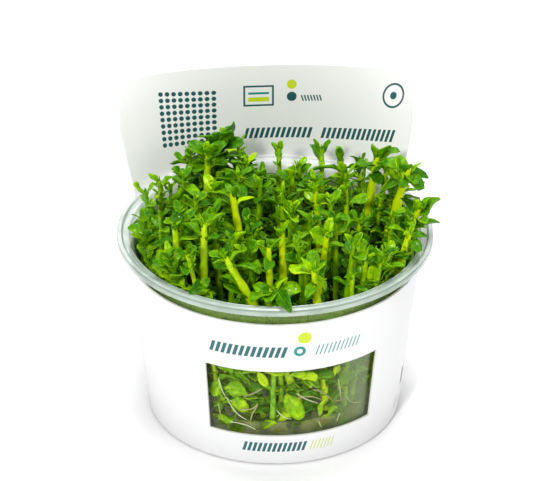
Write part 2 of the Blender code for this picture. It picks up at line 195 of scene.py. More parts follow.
# Shoots in mm: foot x and y, tip x, y and z, stem thickness, turn of the top pair, leaf length
SHOOTS = (
    (-15, 17, -10, 26, 66, 1.7, 20, 5.4),
    (-21, 17, -19, 21, 62, 1.4, 60, 5.5),
    (-16, 11, -15, 17, 63, 2.0, 110, 7.0),
    (-21, 8, -22, 12, 60, 1.4, 20, 5.5),
    (-26, 12, -28, 11, 60, 1.4, 160, 5.0),
    (-28, 3, -32, 7, 59, 1.4, 0, 5.5),
    (0, 22, -6, 25, 61, 1.3, 30, 5.0),
    (-3, 11, -2, 10, 60, 1.5, 80, 5.5),
    (6, 17, 4, 22, 61, 1.5, 172, 5.0),
    (7, 9, 6, 11, 59, 1.4, 40, 5.5),
    (12, 6, 11, 6, 60, 1.4, 100, 5.5),
    (15, 15, 15, 20, 61, 1.6, 0, 5.5),
    (20, 13, 19, 15, 61, 1.5, 75, 6.0),
    (25, 12, 24, 15, 60, 1.3, 0, 4.5),
    (21, 5, 28, 12, 62, 2.4, 10, 6.5),
    (23, 0, 34, 1, 64, 2.6, 20, 6.0),
    (28, 8, 32, 6, 60, 1.4, 130, 5.0),
    (25, -7, 35, -9, 58, 2.1, 15, 7.0),
    (22, -15, 31, -18, 56, 1.9, 60, 4.5),
    (16, -24, 23, -26, 55, 1.5, 20, 6.0),
    (28, -11, 32, -13, 57, 1.5, 100, 5.5),
    (6, -8, 7, -12, 59, 1.5, 140, 6.0),
    (13, -2, 10, -1, 61, 1.9, 30, 6.0),
    (7, -14, 10, -20, 59, 1.8, 80, 5.5),
    (9, -27, 5, -31, 55, 2.2, 150, 6.5),
    (13, -20, 16, -24, 58, 1.5, 10, 5.5),
    (17, -21, 19, -25, 56, 1.5, 120, 5.5),
    (22, -20, 25, -22, 54, 1.4, 40, 6.0),
    (-21, -19, -20, -16, 62, 2.2, 30, 6.0),
    (-25, -14, -27, -13, 60, 1.9, 80, 6.0),
    (-17, -23, -25, -22, 57, 1.4, 150, 5.5),
    (-28, -8, -30, -7, 60, 1.5, 10, 5.5),
    (-29, -2, -34, -5, 57, 1.5, 50, 5.5),
    (-25, -17, -29, -19, 56, 1.4, 100, 5.5),
    (3, -28, -16, -25, 57, 2.3, 45, 6.5),
    (-5, -6, -11, 0, 61, 2.2, 110, 6.0),
    (-4, -23, -5, -23, 58, 1.9, 0, 5.5),
    (0, -19, -1, -18, 59, 2.1, 60, 6.0),
    (-4, -17, -10, -19, 55, 1.3, 20, 6.0),
    (-5, 6, -3, 5, 60, 1.5, 150, 5.0),
    (2, -5, 3, -7, 60, 1.4, 0, 5.5),
    (19, -2, 18, 0, 60, 1.5, 60, 5.5),
    (14, -13, 13, -14, 59, 1.5, 120, 6.0),
    (-14, -9, -17, -9, 61, 1.6, 45, 6.0),
    (-5, -12, -9, -13, 60, 1.4, 90, 5.5),
    (-23, -5, -25, -8, 61, 1.4, 120, 5.5),
    (-9, 9, -8, 9, 61, 1.5, 10, 6.5),
    (17, -9, 20, -10, 56, 1.6, 140, 5.5),
    (6, -21, 2, -25, 58, 1.4, 100, 5.5),
    (-19, -1, -20, 1, 59, 1.5, 0, 5.5),
    (-14, -18, -13, -16, 57, 1.5, 140, 5.5),
    (3, 2, 2, 2, 59, 1.5, 70, 6.0),
    (-4, 16, -5, 17, 60, 1.5, 20, 6.0),
    (-14, 3, -15, 5, 60, 1.5, 120, 6.0),
    (12, -8, 13, -7, 60, 1.5, 45, 6.0),
)

# Leaves that stand out on a shoot: mm below its tip, heading, tilt above level, length, breadth in mm, tone.
# Numbers past the last of the SHOOTS stand for the SLIGHT_SHOOTS, in their order.
CHOSEN_LEAVES = {
    1: ((5.6, -95, 80, 8.0, 7.0, 0.34), (5.4, -50, 76, 8.2, 7.2, 0.26), (6.0, -140, 72, 7.6, 6.6, 0.40),
        (6.6, 195, 58, 7.0, 5.2, 0.42), (6.8, -15, 60, 6.4, 5.2, 0.24), (8.4, -100, 70, 6.0, 5.4, 0.38),
        (8.8, 215, 50, 6.2, 4.8, 0.44), (9.0, -40, 55, 6.0, 4.8, 0.30), (6.0, -100, -62, 5.8, 4.6, 0.34),
        (8.6, -60, -55, 6.4, 4.4, 0.26), (9.8, 200, -60, 5.4, 3.8, 0.26), (12.0, -80, -60, 6.0, 4.0, 0.28)),
    2: ((1.0, -90, 50, 5.0, 3.4, 0.45), (3.0, 200, 25, 4.8, 3.2, 0.40), (4.4, -40, 15, 5.0, 3.4, 0.36),
        (7.0, -120, 0, 5.2, 3.6, 0.42), (8.6, 10, -5, 5.4, 3.6, 0.30), (11.0, 190, -10, 5.4, 3.6, 0.34)),
    3: ((0.6, 180, 52, 5.6, 4.2, 0.42), (0.8, 10, 60, 5.4, 4.2, 0.36), (1.6, 130, 60, 6.0, 4.6, 0.40)),
    15: ((0.8, 10, 35, 5.6, 4.0, 0.46), (1.4, -60, 45, 5.6, 4.4, 0.42), (2.0, -150, 25, 5.4, 4.0, 0.36),
         (3.2, -90, -5, 4.8, 3.6, 0.32)),
    16: ((0.8, 160, 40, 5.4, 3.8, 0.42), (1.8, -70, 20, 5.6, 4.0, 0.36), (2.6, -100, 35, 5.0, 3.8, 0.30),
         (3.6, 195, 5, 5.8, 4.2, 0.32), (4.4, 20, 0, 5.6, 4.2, 0.26), (2.4, 10, 20, 4.8, 4.0, 0.26),
         (8.5, 0, 10, 4.6, 3.2, 0.30)),
    18: ((2.4, 15, 50, 6.8, 5.8, 0.40), (4.6, -25, 26, 6.0, 3.8, 0.36), (2.0, 190, 30, 5.0, 3.4, 0.50)),
    19: ((0.6, 0, 15, 4.0, 3.4, 0.32), (1.6, -60, 5, 4.2, 3.2, 0.36), (5.0, 190, 8, 6.2, 3.0, 0.60)),
    23: ((0.8, 200, 40, 5.0, 3.0, 0.50),),
    25: ((0.6, 160, 15, 5.8, 4.4, 0.80), (1.6, 95, 72, 6.0, 4.0, 0.56), (0.8, -50, -25, 4.2, 3.0, 0.66)),
    29: ((0.6, 30, 25, 5.6, 4.4, 0.42),),
    35: ((0.6, 5, 35, 5.2, 4.2, 0.60), (0.6, 185, 45, 4.4, 3.2, 0.50), (9.0, 150, 40, 5.6, 3.2, 0.52),
         (13.0, 175, 64, 6.6, 4.2, 0.36)),
    36: ((1.0, 160, 30, 5.4, 3.8, 0.55),),
    47: ((0.8, 185, 15, 7.5, 4.6, 0.22), (0.8, 0, 10, 8.0, 4.8, 0.18), (2.2, -90, 10, 6.4, 4.4, 0.28)),
    56: ((0.3, -80, 26, 10.2, 3.0, 0.20), (0.4, 205, 12, 6.4, 4.8, 0.58), (0.8, -15, 22, 6.0, 4.6, 0.62),
         (1.0, -115, 25, 5.4, 4.4, 0.52)),
}

# Shoots without a solid of their own, in the same mm
SLIGHT_SHOOTS = (
    (-2, -27, -5, -31.5, 51, 1.6, 30, 6.5),
    (-13, 15, -13, 23, 60, 1.4, 70, 6.5),
    (-18, 14, -16, 21, 58, 1.3, 10, 6.0),
    (-10, 16, -4, 23, 57, 1.3, 100, 5.5),
    (-24, 8, -25, 13, 56, 1.3, 40, 5.5),
    (24, 5, 30, 9, 60, 1.8, 60, 5.5),
    (25, 3, 33, 5, 58, 1.6, 100, 5.0),
    (10, 15, 9, 19, 57, 1.4, 30, 5.5),
    (18, 9, 20, 12, 58, 1.4, 0, 5.5),
    (-25, -17, -28, -20, 53, 1.5, 20, 5.5),
    (14, -26, 15, -29, 52, 1.5, 60, 5.0),
    (-30, -4, -33.6, -3, 50, 1.4, 20, 4.2),
    (-30, -8, -32.6, -9, 50, 1.4, 70, 4.2),
    (-28.5, -12, -31, -13, 50, 1.4, 40, 4.2),
    (-30, 0, -34, 3, 50, 1.4, 60, 4.2),
    (-29.5, 6, -33, 9, 51, 1.4, 0, 4.2),
    (29, -14, 32.5, -15.5, 52, 1.4, 70, 5.0),
    (27, -18, 29.5, -20, 51, 1.5, 20, 5.0),
    (26, -6, 29, -7, 55, 1.5, 20, 5.5),
)

# Boxes between the shoots that stay clear, in mm: low corner and high corner
CLEAR_ROOMS = (((8, 11, 15.5), (13, 28, 46.5)), ((-9, 25.5, 14.5), (8, 30, 38)))

# A leaf's tip and sides
LEAF_ENDS = (Vector((0, 1, -0.1)), Vector((0.5, 0.5, 0.1)), Vector((-0.5, 0.5, 0.1)))

# Tilts and sizes that a leaf tries in turn until it has room
LEAF_TRIES = ((0, 1.0), (14, 1.0), (-14, 0.95), (28, 0.85), (-26, 0.8), (45, 0.7))

# Tone of a shoot's top leaves, and how much it falls with each mm below the tip
TOP_TONE = 0.52
TONE_FALL = 0.014
TONE_PLAY = 0.22
PAIR_TONE_PLAY = 0.12
BRIGHT_LEAF_CHANCE = 0.12
BRIGHT_LEAF = 0.2
SIDE_LEAF_CHANCE = 0.5

# Play of a leaf in degrees, its least size near the tip and below, and how deep it sits in its stem
SWING_PLAY = 16
TILT_PLAY = 12
ROLL_PLAY = 20
LEAST_TOP_LEAF = 0.62
LEAST_LEAF = 0.45
LEAF_SEAT = 0.6
CHOSEN_SEAT = 0.5
SIDE_LEAF_SIZE = (0.25, 0.5)
SIDE_LEAF_TILT = (35, 75)

# Leaves of the bud at a shoot's tip
BUD_SIZE = (0.32, 0.5)
BUD_BREADTH = 0.55
BUD_TILT = 72
BUD_SEAT = 0.0006
BUD_BRIGHTER = 0.1

# Tone of a stem, which grows towards +X as painted light from the right, and the lowest share of a stem that
# still bears leaves
STEM_TONE = 0.30
BRIGHT_STEM_TONE = 0.88
STEM_TONE_PLAY = 0.16
STEM_LIGHT_RISE = 0.22
LOWEST_PAIR = 0.06

# Bright stems, and stems whose foot lies in front of this, are mostly bare at these mm below the tip
BARE_FROM = -0.010
BARE_STRETCH = (5, 19)
BARE_CHANCE = 0.75

# Young shoots that stand between the others: how far they spread and keep apart
YOUNG_SHOOTS = 110
YOUNG_SPREAD = 0.0305
YOUNG_GAP = 0.0034
YOUNG_GROUPS = 3
YOUNG_SEED = 1000

# Their lean outwards as a share, and in mm their tips' stray, their height, less in front, and their sizes
YOUNG_LEAN = 0.10
YOUNG_STRAY = 2
YOUNG_HEIGHT = (43, 55)
FRONT_LOWER = 4
YOUNG_THICKNESS = (1.0, 1.6)
YOUNG_LEAF = (3.4, 5.2)

# A young shoot grows only where this height over its foot and its tip lies in no clear room
HALF_HEIGHT = Vector((0, 0, 0.03))

# Loose leaves low in the cup, and those that lie higher along its wall: heights, insets, swings and rolls
# in radians, lengths, and tilts in degrees
LOW_LEAVES = 1000
WALL_LEAVES = 950
LOW_GROUPS = 3
LOW_HEIGHTS = (0.0155, 0.0490)
WALL_HEIGHTS = (0.0360, 0.0485)
LOW_CROWDING = 0.42
WALL_INSET = 0.0022
LOW_LEAF_INSET = 0.0012
WALL_SWING = 1.8
LOW_LENGTHS = (0.0035, 0.0060)
LOW_TILTS = (-20, 70)
LOOSE_ROLL = 0.6

# Their tone, brighter this near the wall as painted light where light comes in through the wall, and the
# heights that they stay under in front and at the back
NEAR_WALL = 0.0035
WALL_LIGHT_TONE = 0.78
LOW_TONE = 0.40
LOW_TONE_PLAY = (0.4, 1.1)
FRONT_HALF = 0.020
FRONT_TOP = 0.040
BACK_FROM = 0.018
BACK_TOP = 0.046

# Leaves that lie against the window, in degrees and mm: turn, height, length, breadth, lean, depth, tone
WINDOW_LEAVES = (
    (-26, 21.5, 6.2, 4.6, 75, 0.5, 0.42),
    (-25.5, 16.5, 5.8, 4.8, 165, 0.6, 0.55),
    (-35.5, 20.5, 5.0, 3.8, 200, 0.7, 0.45),
    (-32.5, 10.9, 4.6, 3.8, 35, 0.5, 0.48),
    (-31, 26.5, 4.2, 3.0, 100, 1.4, 0.35),
    (-20, 27.0, 4.0, 2.8, 60, 1.8, 0.40),
    (-14, 25.5, 4.6, 2.6, 150, 0.9, 0.85),
    (-8, 27.2, 5.2, 2.4, 95, 0.5, 0.60),
    (1.5, 26.6, 4.6, 2.2, 80, 0.6, 0.62),
    (6.8, 25.3, 4.4, 2.8, 100, 0.9, 0.78),
    (15, 24.2, 5.2, 3.8, 95, 1.2, 0.10),
    (20.5, 25.5, 3.6, 2.2, 10, 0.9, 0.75),
    (-0.1, 17.3, 7.6, 4.8, 152, 0.5, 0.50),
    (-3.6, 12.9, 3.6, 2.4, 60, 0.9, 0.90),
    (-12, 10.9, 5.6, 2.8, 58, 0.6, 0.55),
    (14, 15.5, 6.2, 2.0, 12, 0.5, 0.60),
    (20.3, 13.0, 3.8, 2.2, 60, 0.6, 0.45),
    (17.2, 11.4, 3.4, 1.6, 100, 0.9, 0.60),
    (27, 20.5, 6.0, 4.2, 30, 2.4, 0.25),
    (31, 25.0, 5.0, 3.6, 330, 2.8, 0.20),
    (30, 13.0, 4.6, 3.0, 70, 3.0, 0.15),
    (-19, 21.0, 5.0, 3.4, 120, 3.0, 0.10),
    (-17, 15.0, 4.6, 3.2, 40, 3.2, 0.12),
    (8, 18.0, 5.0, 3.4, 70, 3.2, 0.08),
    (-36, 14.0, 4.4, 3.0, 10, 1.6, 0.20),
)

WINDOW_TONE = 0.28
WINDOW_WILD = 0.35
WINDOW_GAP = 0.5

# Loose leaves behind them: turn to either side in degrees, height, depth and length in mm, tilt in radians
BACKING_LEAVES = 210
BACKING_TURN = 42
BACKING_HEIGHTS = (7.5, 31)
BACKING_DEPTHS = (1.5, 6.0)
BACKING_LENGTHS = (4.0, 6.5)
BACKING_TILTS = (-0.3, 1.2)
BACKING_TONES = (0.1, 0.8)

# Roots along the window, in degrees and mm: three (turn, height) points, depth, thickness, tone
WINDOW_ROOTS = (
    ((-33.5, 24.0), (-31.5, 17.5), (-27.5, 17.8), 0.25, 0.22, 1.0),
    ((-29.5, 18.0), (-26.5, 13.5), (-21, 12.6), 0.25, 0.22, 1.0),
    ((-7.5, 16.2), (-4, 13.2), (-0.5, 13.2), 0.25, 0.20, 1.0),
    ((-29, 11.0), (-22, 11.4), (-17, 9.7), 0.25, 0.24, 1.0),
    ((1.5, 21.0), (5.5, 18.6), (11.5, 17.0), 0.4, 0.34, 0.7),
    ((2.0, 19.2), (8, 20.6), (16, 16.4), 0.6, 0.30, 0.5),
    ((9, 21.4), (14, 20.6), (19, 16.4), 0.6, 0.36, 0.35),
    ((18.5, 16.6), (25, 15.2), (29, 16.8), 0.5, 0.34, 0.3),
    ((20.8, 23.0), (22.5, 19), (23.2, 16.2), 0.4, 0.26, 0.8),
    ((26.5, 16.4), (29, 13.2), (35.5, 12.8), 0.4, 0.36, 0.75),
    ((-22.5, 19.4), (-18, 20.4), (-14, 22.4), 0.8, 0.50, 0.3),
    ((-24, 15.4), (-19, 14.4), (-16, 17.6), 0.9, 0.40, 0.4),
    ((-20, 9.8), (-19.5, 14), (-16, 16.8), 1.0, 0.44, 0.35),
    ((12.5, 11.0), (13.5, 9.6), (14, 9.0), 0.5, 0.30, 0.8),
    ((22, 9.6), (22.6, 11.4), (24, 12.6), 0.5, 0.26, 0.9),
    ((-35, 15.6), (-33, 12.4), (-35.5, 10.0), 0.6, 0.30, 0.6),
)

# Turn of a root about its own length, in radians
ROOT_TURN = 0.3

# Floor, surrounding light and lights: name, place, size and power
FLOOR_SIZE = 6
SURROUND = 0.42
LIGHT_AIM = Vector((0, 0, 0.04))
LIGHTS = (
    ("key_light", (-0.42, -0.82, 0.68), 0.12, 6.4),
    ("fill_light", (0.60, -0.70, 0.70), 0.40, 1.5),
    ("top_light", (0.05, 0.10, 1.1), 0.45, 10.0),
)

Stem = namedtuple("Stem", "foot bend tip radius turn leaf_length jitter chance bright bushy crowned")


class Wire:
    """A node's output socket. Python's operators on it add Math nodes to its material."""

    def __init__(self, socket):
        self.socket = socket

    def node(self, kind, settings=(), inputs=(), output=0):
        """Add a node beside this one: its settings first, then its sockets' values or links."""
        tree = self.socket.id_data
        made = tree.nodes.new(kind)
        for name, value in dict(settings).items():
            if name == "stops":
                lay_stops(made.color_ramp, value)
            else:
                setattr(made, name, value)
        for name, value in dict(inputs).items():
            if isinstance(value, Wire):
                tree.links.new(value.socket, made.inputs[name])
            else:
                made.inputs[name].default_value = value
        return Wire(made.outputs[output])

    def reckon(self, operation, *values):
        """Add a Math node."""
        return self.node("ShaderNodeMath", {"operation": operation}, enumerate(values))

    def __add__(self, other):
        return self.reckon("ADD", self, other)

    def __radd__(self, other):
        return self.reckon("ADD", other, self)

    def __sub__(self, other):
        return self.reckon("SUBTRACT", self, other)

    def __rsub__(self, other):
        return self.reckon("SUBTRACT", other, self)

    def __mul__(self, other):
        return self.reckon("MULTIPLY", self, other)

    def __rmul__(self, other):
        return self.reckon("MULTIPLY", other, self)

    def __truediv__(self, other):
        return self.reckon("DIVIDE", self, other)

    def __pow__(self, other):
        return self.reckon("POWER", self, other)

    def __gt__(self, other):
        return self.reckon("GREATER_THAN", self, other)

    def __lt__(self, other):
        return self.reckon("LESS_THAN", self, other)

    def __abs__(self):
        return self.reckon("ABSOLUTE", self)

    def most(self, other):
        """Give the larger of two values."""
        return self.reckon("MAXIMUM", self, other)

    def part(self):
        """Give what stands behind the point of a value."""
        return self.reckon("FRACT", self)

    def between(self, low, high, start=0.0, end=1.0):
        """Run smoothly from start to end as this value runs from low to high."""
        values = {"Value": self, "From Min": low, "From Max": high, "To Min": start, "To Max": end}
        return self.node("ShaderNodeMapRange", {"interpolation_type": "SMOOTHSTEP"}, values)

    def noise(self, scale, detail=2.0):
        """Add noise that reads this vector."""
        return self.node("ShaderNodeTexNoise", (), {"Vector": self, "Scale": scale, "Detail": detail})

    def ramp(self, *stops):
        """Run this value through a colour ramp."""
        return self.node("ShaderNodeValToRGB", {"stops": stops}, {0: self})

    def paint(self, low, high):
        """Mix two colours by this value."""
        values = {0: self, 6: colour(low), 7: colour(high)}
        return self.node("ShaderNodeMix", {"data_type": "RGBA"}, values, 2)

    def bump(self, strength, distance):
        """Turn this height into a normal."""
        return self.node("ShaderNodeBump", (), {"Strength": strength, "Distance": distance, "Height": self})

    def attribute(self, name):
        """Read a value that the mesh carries."""
        return self.node("ShaderNodeAttribute", {"attribute_name": name}, (), 2)

    def xyz(self):
        """Split this vector into its three values."""
        split = self.node("ShaderNodeSeparateXYZ", (), {0: self}).socket.node
        return [Wire(output) for output in split.outputs]

    def flat(self):
        """Read the piece's own map."""
        return self.node("ShaderNodeUVMap", {"uv_map": "UVMap"}).xyz()[:2]


def lay_stops(ramp, stops):
    """Give a colour ramp its stops of (place, colour)."""
    while len(ramp.elements) < len(stops):
        ramp.elements.new(1.0)
    for element, (place, shade) in zip(ramp.elements, stops):
        element.position = place
        element.color = colour(shade)


def colour(value):
    """Give a socket's colour: a link stays as it is, and three numbers get their alpha."""
    return value if isinstance(value, Wire) else (*value, 1.0)


def new_material(name, roughness, **constants):
    """Start a material with its constant values, and give its shader and its Object coordinates."""
    made = bpy.data.materials.new(name)
    made.use_nodes = True
    shader = made.node_tree.nodes["Principled BSDF"]
    shader.inputs["Roughness"].default_value = roughness
    for socket, value in constants.items():
        shader.inputs[socket.replace("_", " ")].default_value = value
    place = Wire(made.node_tree.nodes.new("ShaderNodeTexCoord").outputs["Object"])
    return made, shader, place


def feed(shader, **values):
    """Link what changes over the surface to the shader."""
    for socket, value in values.items():
        shader.id_data.links.new(value.socket, shader.inputs[socket.replace("_", " ")])


def leaf_material():
    """Leaf: deep to yellow green from leaf to leaf, paler at its foot and midrib, with a paler rim of painted
    light and a moist gloss.
    """
    made, shader, place = new_material(
        "leaf", 0.42, Subsurface_Weight=0.25, Subsurface_Radius=(0.8, 1.0, 0.02), Subsurface_Scale=0.0007,
        Specular_IOR_Level=0.10, Coat_Roughness=0.10)
    tone = place.attribute("tone")
    across, along = place.flat()
    mottle = place.noise(900.0, 3.0)
    patch = place.noise(330.0, 2.0)
    drops = place.noise(1500.0, 1.0).between(0.58, 0.66, 0.02, 0.7)
    shade = (tone + (mottle - 0.5) * 0.7 + (patch - 0.5) * 0.7).ramp(
        (0.0, (0.013, 0.085, 0.0)), (0.3, (0.040, 0.190, 0.0)), (0.6, (0.135, 0.350, 0.0)),
        (0.85, (0.300, 0.560, 0.0)), (1.0, (0.460, 0.700, 0.0)))
    from_middle = abs(across - 0.5)
    midrib = from_middle.between(0.015, 0.07, 0.22, 0.0) * along.between(0.6, 1.0, 1.0, 0.0)
    foot = along.between(0.0, 0.25, 0.8, 0.0)
    # Painted light: a paler rim along the leaf's edge stands in for light shining through its thin edge.
    edge = from_middle.between(0.43, 0.5, 0.0, 0.12)
    shade = midrib.most(foot).most(edge).paint(shade, (0.380, 0.540, 0.01))
    crumple = from_middle.between(0.0, 0.07) + mottle + patch * 2.5
    feed(shader, Base_Color=shade, Coat_Weight=drops, Normal=crumple.bump(0.8, 0.0003))
    return made


def stem_material():
    """Stem: bright yellow green, greener here and there, and finely streaked."""
    made, shader, place = new_material(
        "stem", 0.38, Subsurface_Weight=0.3, Subsurface_Radius=(1.0, 1.0, 0.02), Subsurface_Scale=0.0010,
        Specular_IOR_Level=0.25, Coat_Weight=0.15, Coat_Roughness=0.1)
    tone = place.attribute("tone")
    streak = place.noise(700.0, 3.0)
    patch = place.noise(220.0, 2.0)
    shade = (tone + (streak - 0.5) * 0.8 + (patch - 0.5) * 0.9).ramp(
        (0.0, (0.070, 0.240, 0.0)), (0.4, (0.265, 0.520, 0.0)), (0.75, (0.500, 0.740, 0.0)),
        (1.0, (0.680, 0.860, 0.0)))
    feed(shader, Base_Color=shade, Normal=(streak + patch).bump(0.5, 0.0002))
    return made


def root_material():
    """Root: from pinkish brown to white."""
    made, shader, place = new_material("root", 0.35, Subsurface_Weight=0.2, Subsurface_Scale=0.0004)
    shade = place.attribute("tone").ramp(
        (0.0, (0.230, 0.150, 0.110)), (0.5, (0.420, 0.400, 0.160)), (1.0, (0.750, 0.800, 0.600)))
    feed(shader, Base_Color=shade)
    return made


def clear_material():
    """Clear plastic of the wall and floor: a haze of painted reflection at the window's right, and moist and
    green near the rim.
    """
    made, shader, place = new_material("clear_wall", 0.08)
    x, y, z = place.xyz()
    turn = x.reckon("ARCTAN2", x, y * -1) * (180 / math.pi)
    facing = place.node("ShaderNodeLayerWeight", (), {"Blend": 0.3}, 1)
    cloud = place.noise(130.0, 2.0)
    # Painted reflection: a greenish grey veil over the window's right, where the bright surround reflects off
    # the curved wall.
    reflection_haze = turn.between(*REFLECTION_HAZE_RISE) * (turn < REFLECTION_HAZE_END) * (turn > 0) * (z < WINDOW_TOP)
    moist = z.between(*MOIST_RISE)
    tint = z.between(WINDOW_TOP, CLEAR_FROM).paint((0.34, 0.46, 0.12), (0.86, 0.88, 0.84))
    tint = reflection_haze.paint(tint, (0.26, 0.36, 0.14))
    tint = moist.paint(tint, (0.24, 0.36, 0.09))
    cover = 0.01 + cloud * 0.03 + facing * facing * 0.2 + reflection_haze * 0.28 + moist * (0.25 + cloud * 0.2)
    feed(shader, Base_Color=tint, Alpha=cover)
    return made


def rim_material():
    """Rim: thicker, milky plastic with lines of painted shade where it bends, and whiter with painted light
    where the lit card backs it.
    """
    made, shader, place = new_material(
        "milky_rim", 0.2, Subsurface_Weight=0.6, Subsurface_Radius=(1.0, 1.0, 1.0), Subsurface_Scale=0.0015)
    x, y, z = place.xyz()
    reach = (x * x + y * y) ** 0.5
    on_top = z > RIM_TOP_FROM
    streak = place.noise(160.0, 2.0)
    # Painted shade: dark lines in the groove, where the lip turns down and at the mouth's edge, where shade
    # falls in the bends.
    groove_shade = abs(reach - GROOVE_RADIUS).between(0.0001, 0.0004, 0.85, 0.0) * on_top
    lip_shade = abs(z - LIP_SHADE_HEIGHT).between(0.0001, 0.0004, 0.95, 0.0) * (reach > RIM_RADIUS - 0.0005)
    brim_shade = abs(reach - MOUTH_RADIUS).between(0.0002, 0.0004, 0.6, 0.0) * on_top
    body = streak.ramp((0.35, (0.46, 0.55, 0.49)), (0.6, (0.62, 0.70, 0.65)))
    # Painted light: the back of the rim is whiter where the lit card behind it shows through.
    backing_light = y.between(0.010, 0.032)
    body = backing_light.paint(body, (0.86, 0.88, 0.86))
    shade_lines = groove_shade.most(brim_shade).most(lip_shade) * (1 - backing_light * 0.7)
    feed(shader, Base_Color=shade_lines.paint(body, (0.24, 0.30, 0.25)), Alpha=0.55 + shade_lines * 0.3)
    return made


def gel_material():
    """Cloudy gel with brownish patches."""
    made, shader, place = new_material("cloudy_gel", 0.2)
    cloud = place.noise(230.0, 3.0)
    shade = cloud.ramp((0.38, (0.03, 0.07, 0.005)), (0.48, (0.13, 0.18, 0.03)),
                       (0.56, (0.30, 0.36, 0.06)), (0.66, (0.28, 0.20, 0.11)))
    feed(shader, Base_Color=shade, Alpha=0.3 + cloud * 0.4)
    return made


TEAL = (0.0, 0.105, 0.115)
PALE_TEAL = (0.0, 0.230, 0.200)
DARK_TEAL = (0.003, 0.075, 0.080)
LIME = (0.520, 0.640, 0.006)


def box_mask(x, y, left, right, low, high):
    """Mark an upright box on the flat card."""
    middle_x, middle_y = (left + right) / 2, (low + high) / 2
    return (abs(x - middle_x) < (right - left) / 2) * (abs(y - middle_y) < (high - low) / 2)


def stripe_mask(x, y, left, right, low, high, pitch, share, slant=0.3):
    """Mark a band of slanted stripes on the flat card."""
    leaning = x - (y - (low + high) / 2) * slant
    stripes = ((leaning - left) / pitch).part() < share
    return stripes * box_mask(leaning, y, left, right, low, high)


def round_mask(x, y, middle_x, middle_y, radius, hole=0.0):
    """Mark a disc, or a ring if it has a hole."""
    reach = ((x - middle_x) ** 2 + (y - middle_y) ** 2) ** 0.5
    return (reach < radius) * (reach > hole)


def print_card(ground, prints):
    """Lay printed shapes of (mask, colour) on a ground colour."""
    for mask, ink in prints:
        ground = mask.paint(ground, ink)
    return ground


def card_ground(place, low, high):
    """Give coated card's own colour and its fine tooth."""
    fibre = place.noise(1800.0, 3.0)
    cloud = place.noise(60.0, 2.0)
    return (fibre * 0.5 + cloud * 0.5).paint(low, high), fibre.bump(0.12, 0.0001)


def front_material():
    """Outer face of the card: white, with bands and discs above and below the window."""
    made, shader, place = new_material("card_front", 0.42, Coat_Weight=0.1, Coat_Roughness=0.3)
    ground, tooth = card_ground(place, (0.74, 0.74, 0.745), (0.78, 0.78, 0.785))
    across, up = place.flat()
    x = across * MAP_TURN * FRONT_DEGREE
    y = up * MAP_HEIGHT
    prints = (
        (stripe_mask(x, y, -21.4, -1.9, 33.9, 37.1, 1.5, 0.62), TEAL),
        (stripe_mask(x, y, 5.2, 17.3, 33.9, 36.9, 1.1, 0.3), PALE_TEAL),
        (round_mask(x, y, 2.0, 39.6, 1.7), LIME),
        (round_mask(x, y, 0.9, 35.6, 1.5, 0.7), PALE_TEAL),
        (stripe_mask(x, y, -13.6, 3.4, 4.2, 7.0, 1.35, 0.62), TEAL),
        (stripe_mask(x, y, 5.0, 11.4, 4.2, 7.0, 1.0, 0.3), LIME),
        (box_mask(x, y, 41.4, 44.4, 9.0, 14.0), (0.10, 0.12, 0.12)),
        (stripe_mask(x, y, 37.4, 41.0, 3.6, 7.0, 1.1, 0.35, 0.0), (0.40, 0.42, 0.42)),
    )
    feed(shader, Base_Color=print_card(ground, prints), Normal=tooth)
    return made


def tab_material():
    """Inner face of the card, which is the tab's front: a duller white with small generic marks, and inside
    the cup a painted green shade that turns to a painted brighter white near the top.
    """
    made, shader, place = new_material("card_tab", 0.5)
    across, up = place.flat()
    on_tab = up > TAB_RIM_LEVEL / MM / MAP_HEIGHT
    ground, tooth = card_ground(place, (0.765, 0.77, 0.75), (0.795, 0.80, 0.78))
    # Painted shade and light: inside the cup the card is painted the dark green of the plants' shade, turning
    # near the top to a white brighter than the card's own.
    inside = up.between(*INSIDE_SHADE_FADE).paint((0.18, 0.32, 0.03), (0.95, 0.95, 0.93))
    ground = on_tab.paint(inside, ground)
    x = (across * MAP_TURN - TAB_TURN) * TAB_DEGREE
    y = up * MAP_HEIGHT - (x / PRINT_DIP_AT) ** 2 * PRINT_DIP
    from_dot_x = ((x - DOTS_LEFT) / DOT_ACROSS).part() - 0.5
    from_dot_y = ((y - DOTS_LOW) / DOT_UP).part() - 0.5
    dots = from_dot_x ** 2 + from_dot_y ** 2
    patch = box_mask(x, y, DOTS_LEFT, DOTS_LEFT + DOTS * DOT_ACROSS, DOTS_LOW, DOTS_LOW + DOTS * DOT_UP)
    prints = (
        (patch * (dots < 0.13), DARK_TEAL),
        (box_mask(x, y, -2.9, 5.2, 63.1, 68.9), DARK_TEAL),
        (box_mask(x, y, -2.4, 4.7, 63.6, 68.4), (0.78, 0.785, 0.765)),
        (box_mask(x, y, -1.6, 3.9, 64.4, 65.6), LIME),
        (box_mask(x, y, -1.6, 3.9, 66.4, 67.0), PALE_TEAL),
        (round_mask(x, y, -7.6, 69.0, 1.3), LIME),
        (round_mask(x, y, -7.6, 65.6, 1.3), DARK_TEAL),
        (stripe_mask(x, y, -15.4, -9.8, 64.3, 65.9, 0.8, 0.5), DARK_TEAL),
        (round_mask(x, y, -35.0, 65.2, 3.0, 2.5), DARK_TEAL),
        (round_mask(x, y, -35.0, 65.2, 0.9), DARK_TEAL),
        (stripe_mask(x, y, -12.8, 5.4, 54.1, 57.0, 1.4, 0.6, -0.3), DARK_TEAL),
        (stripe_mask(x, y, -36.2, -15.2, 54.1, 57.0, 1.4, 0.6, -0.3), DARK_TEAL),
    )
    prints = [(mask * on_tab, ink) for mask, ink in prints]
    feed(shader, Base_Color=print_card(ground, prints), Normal=tooth)
    return made


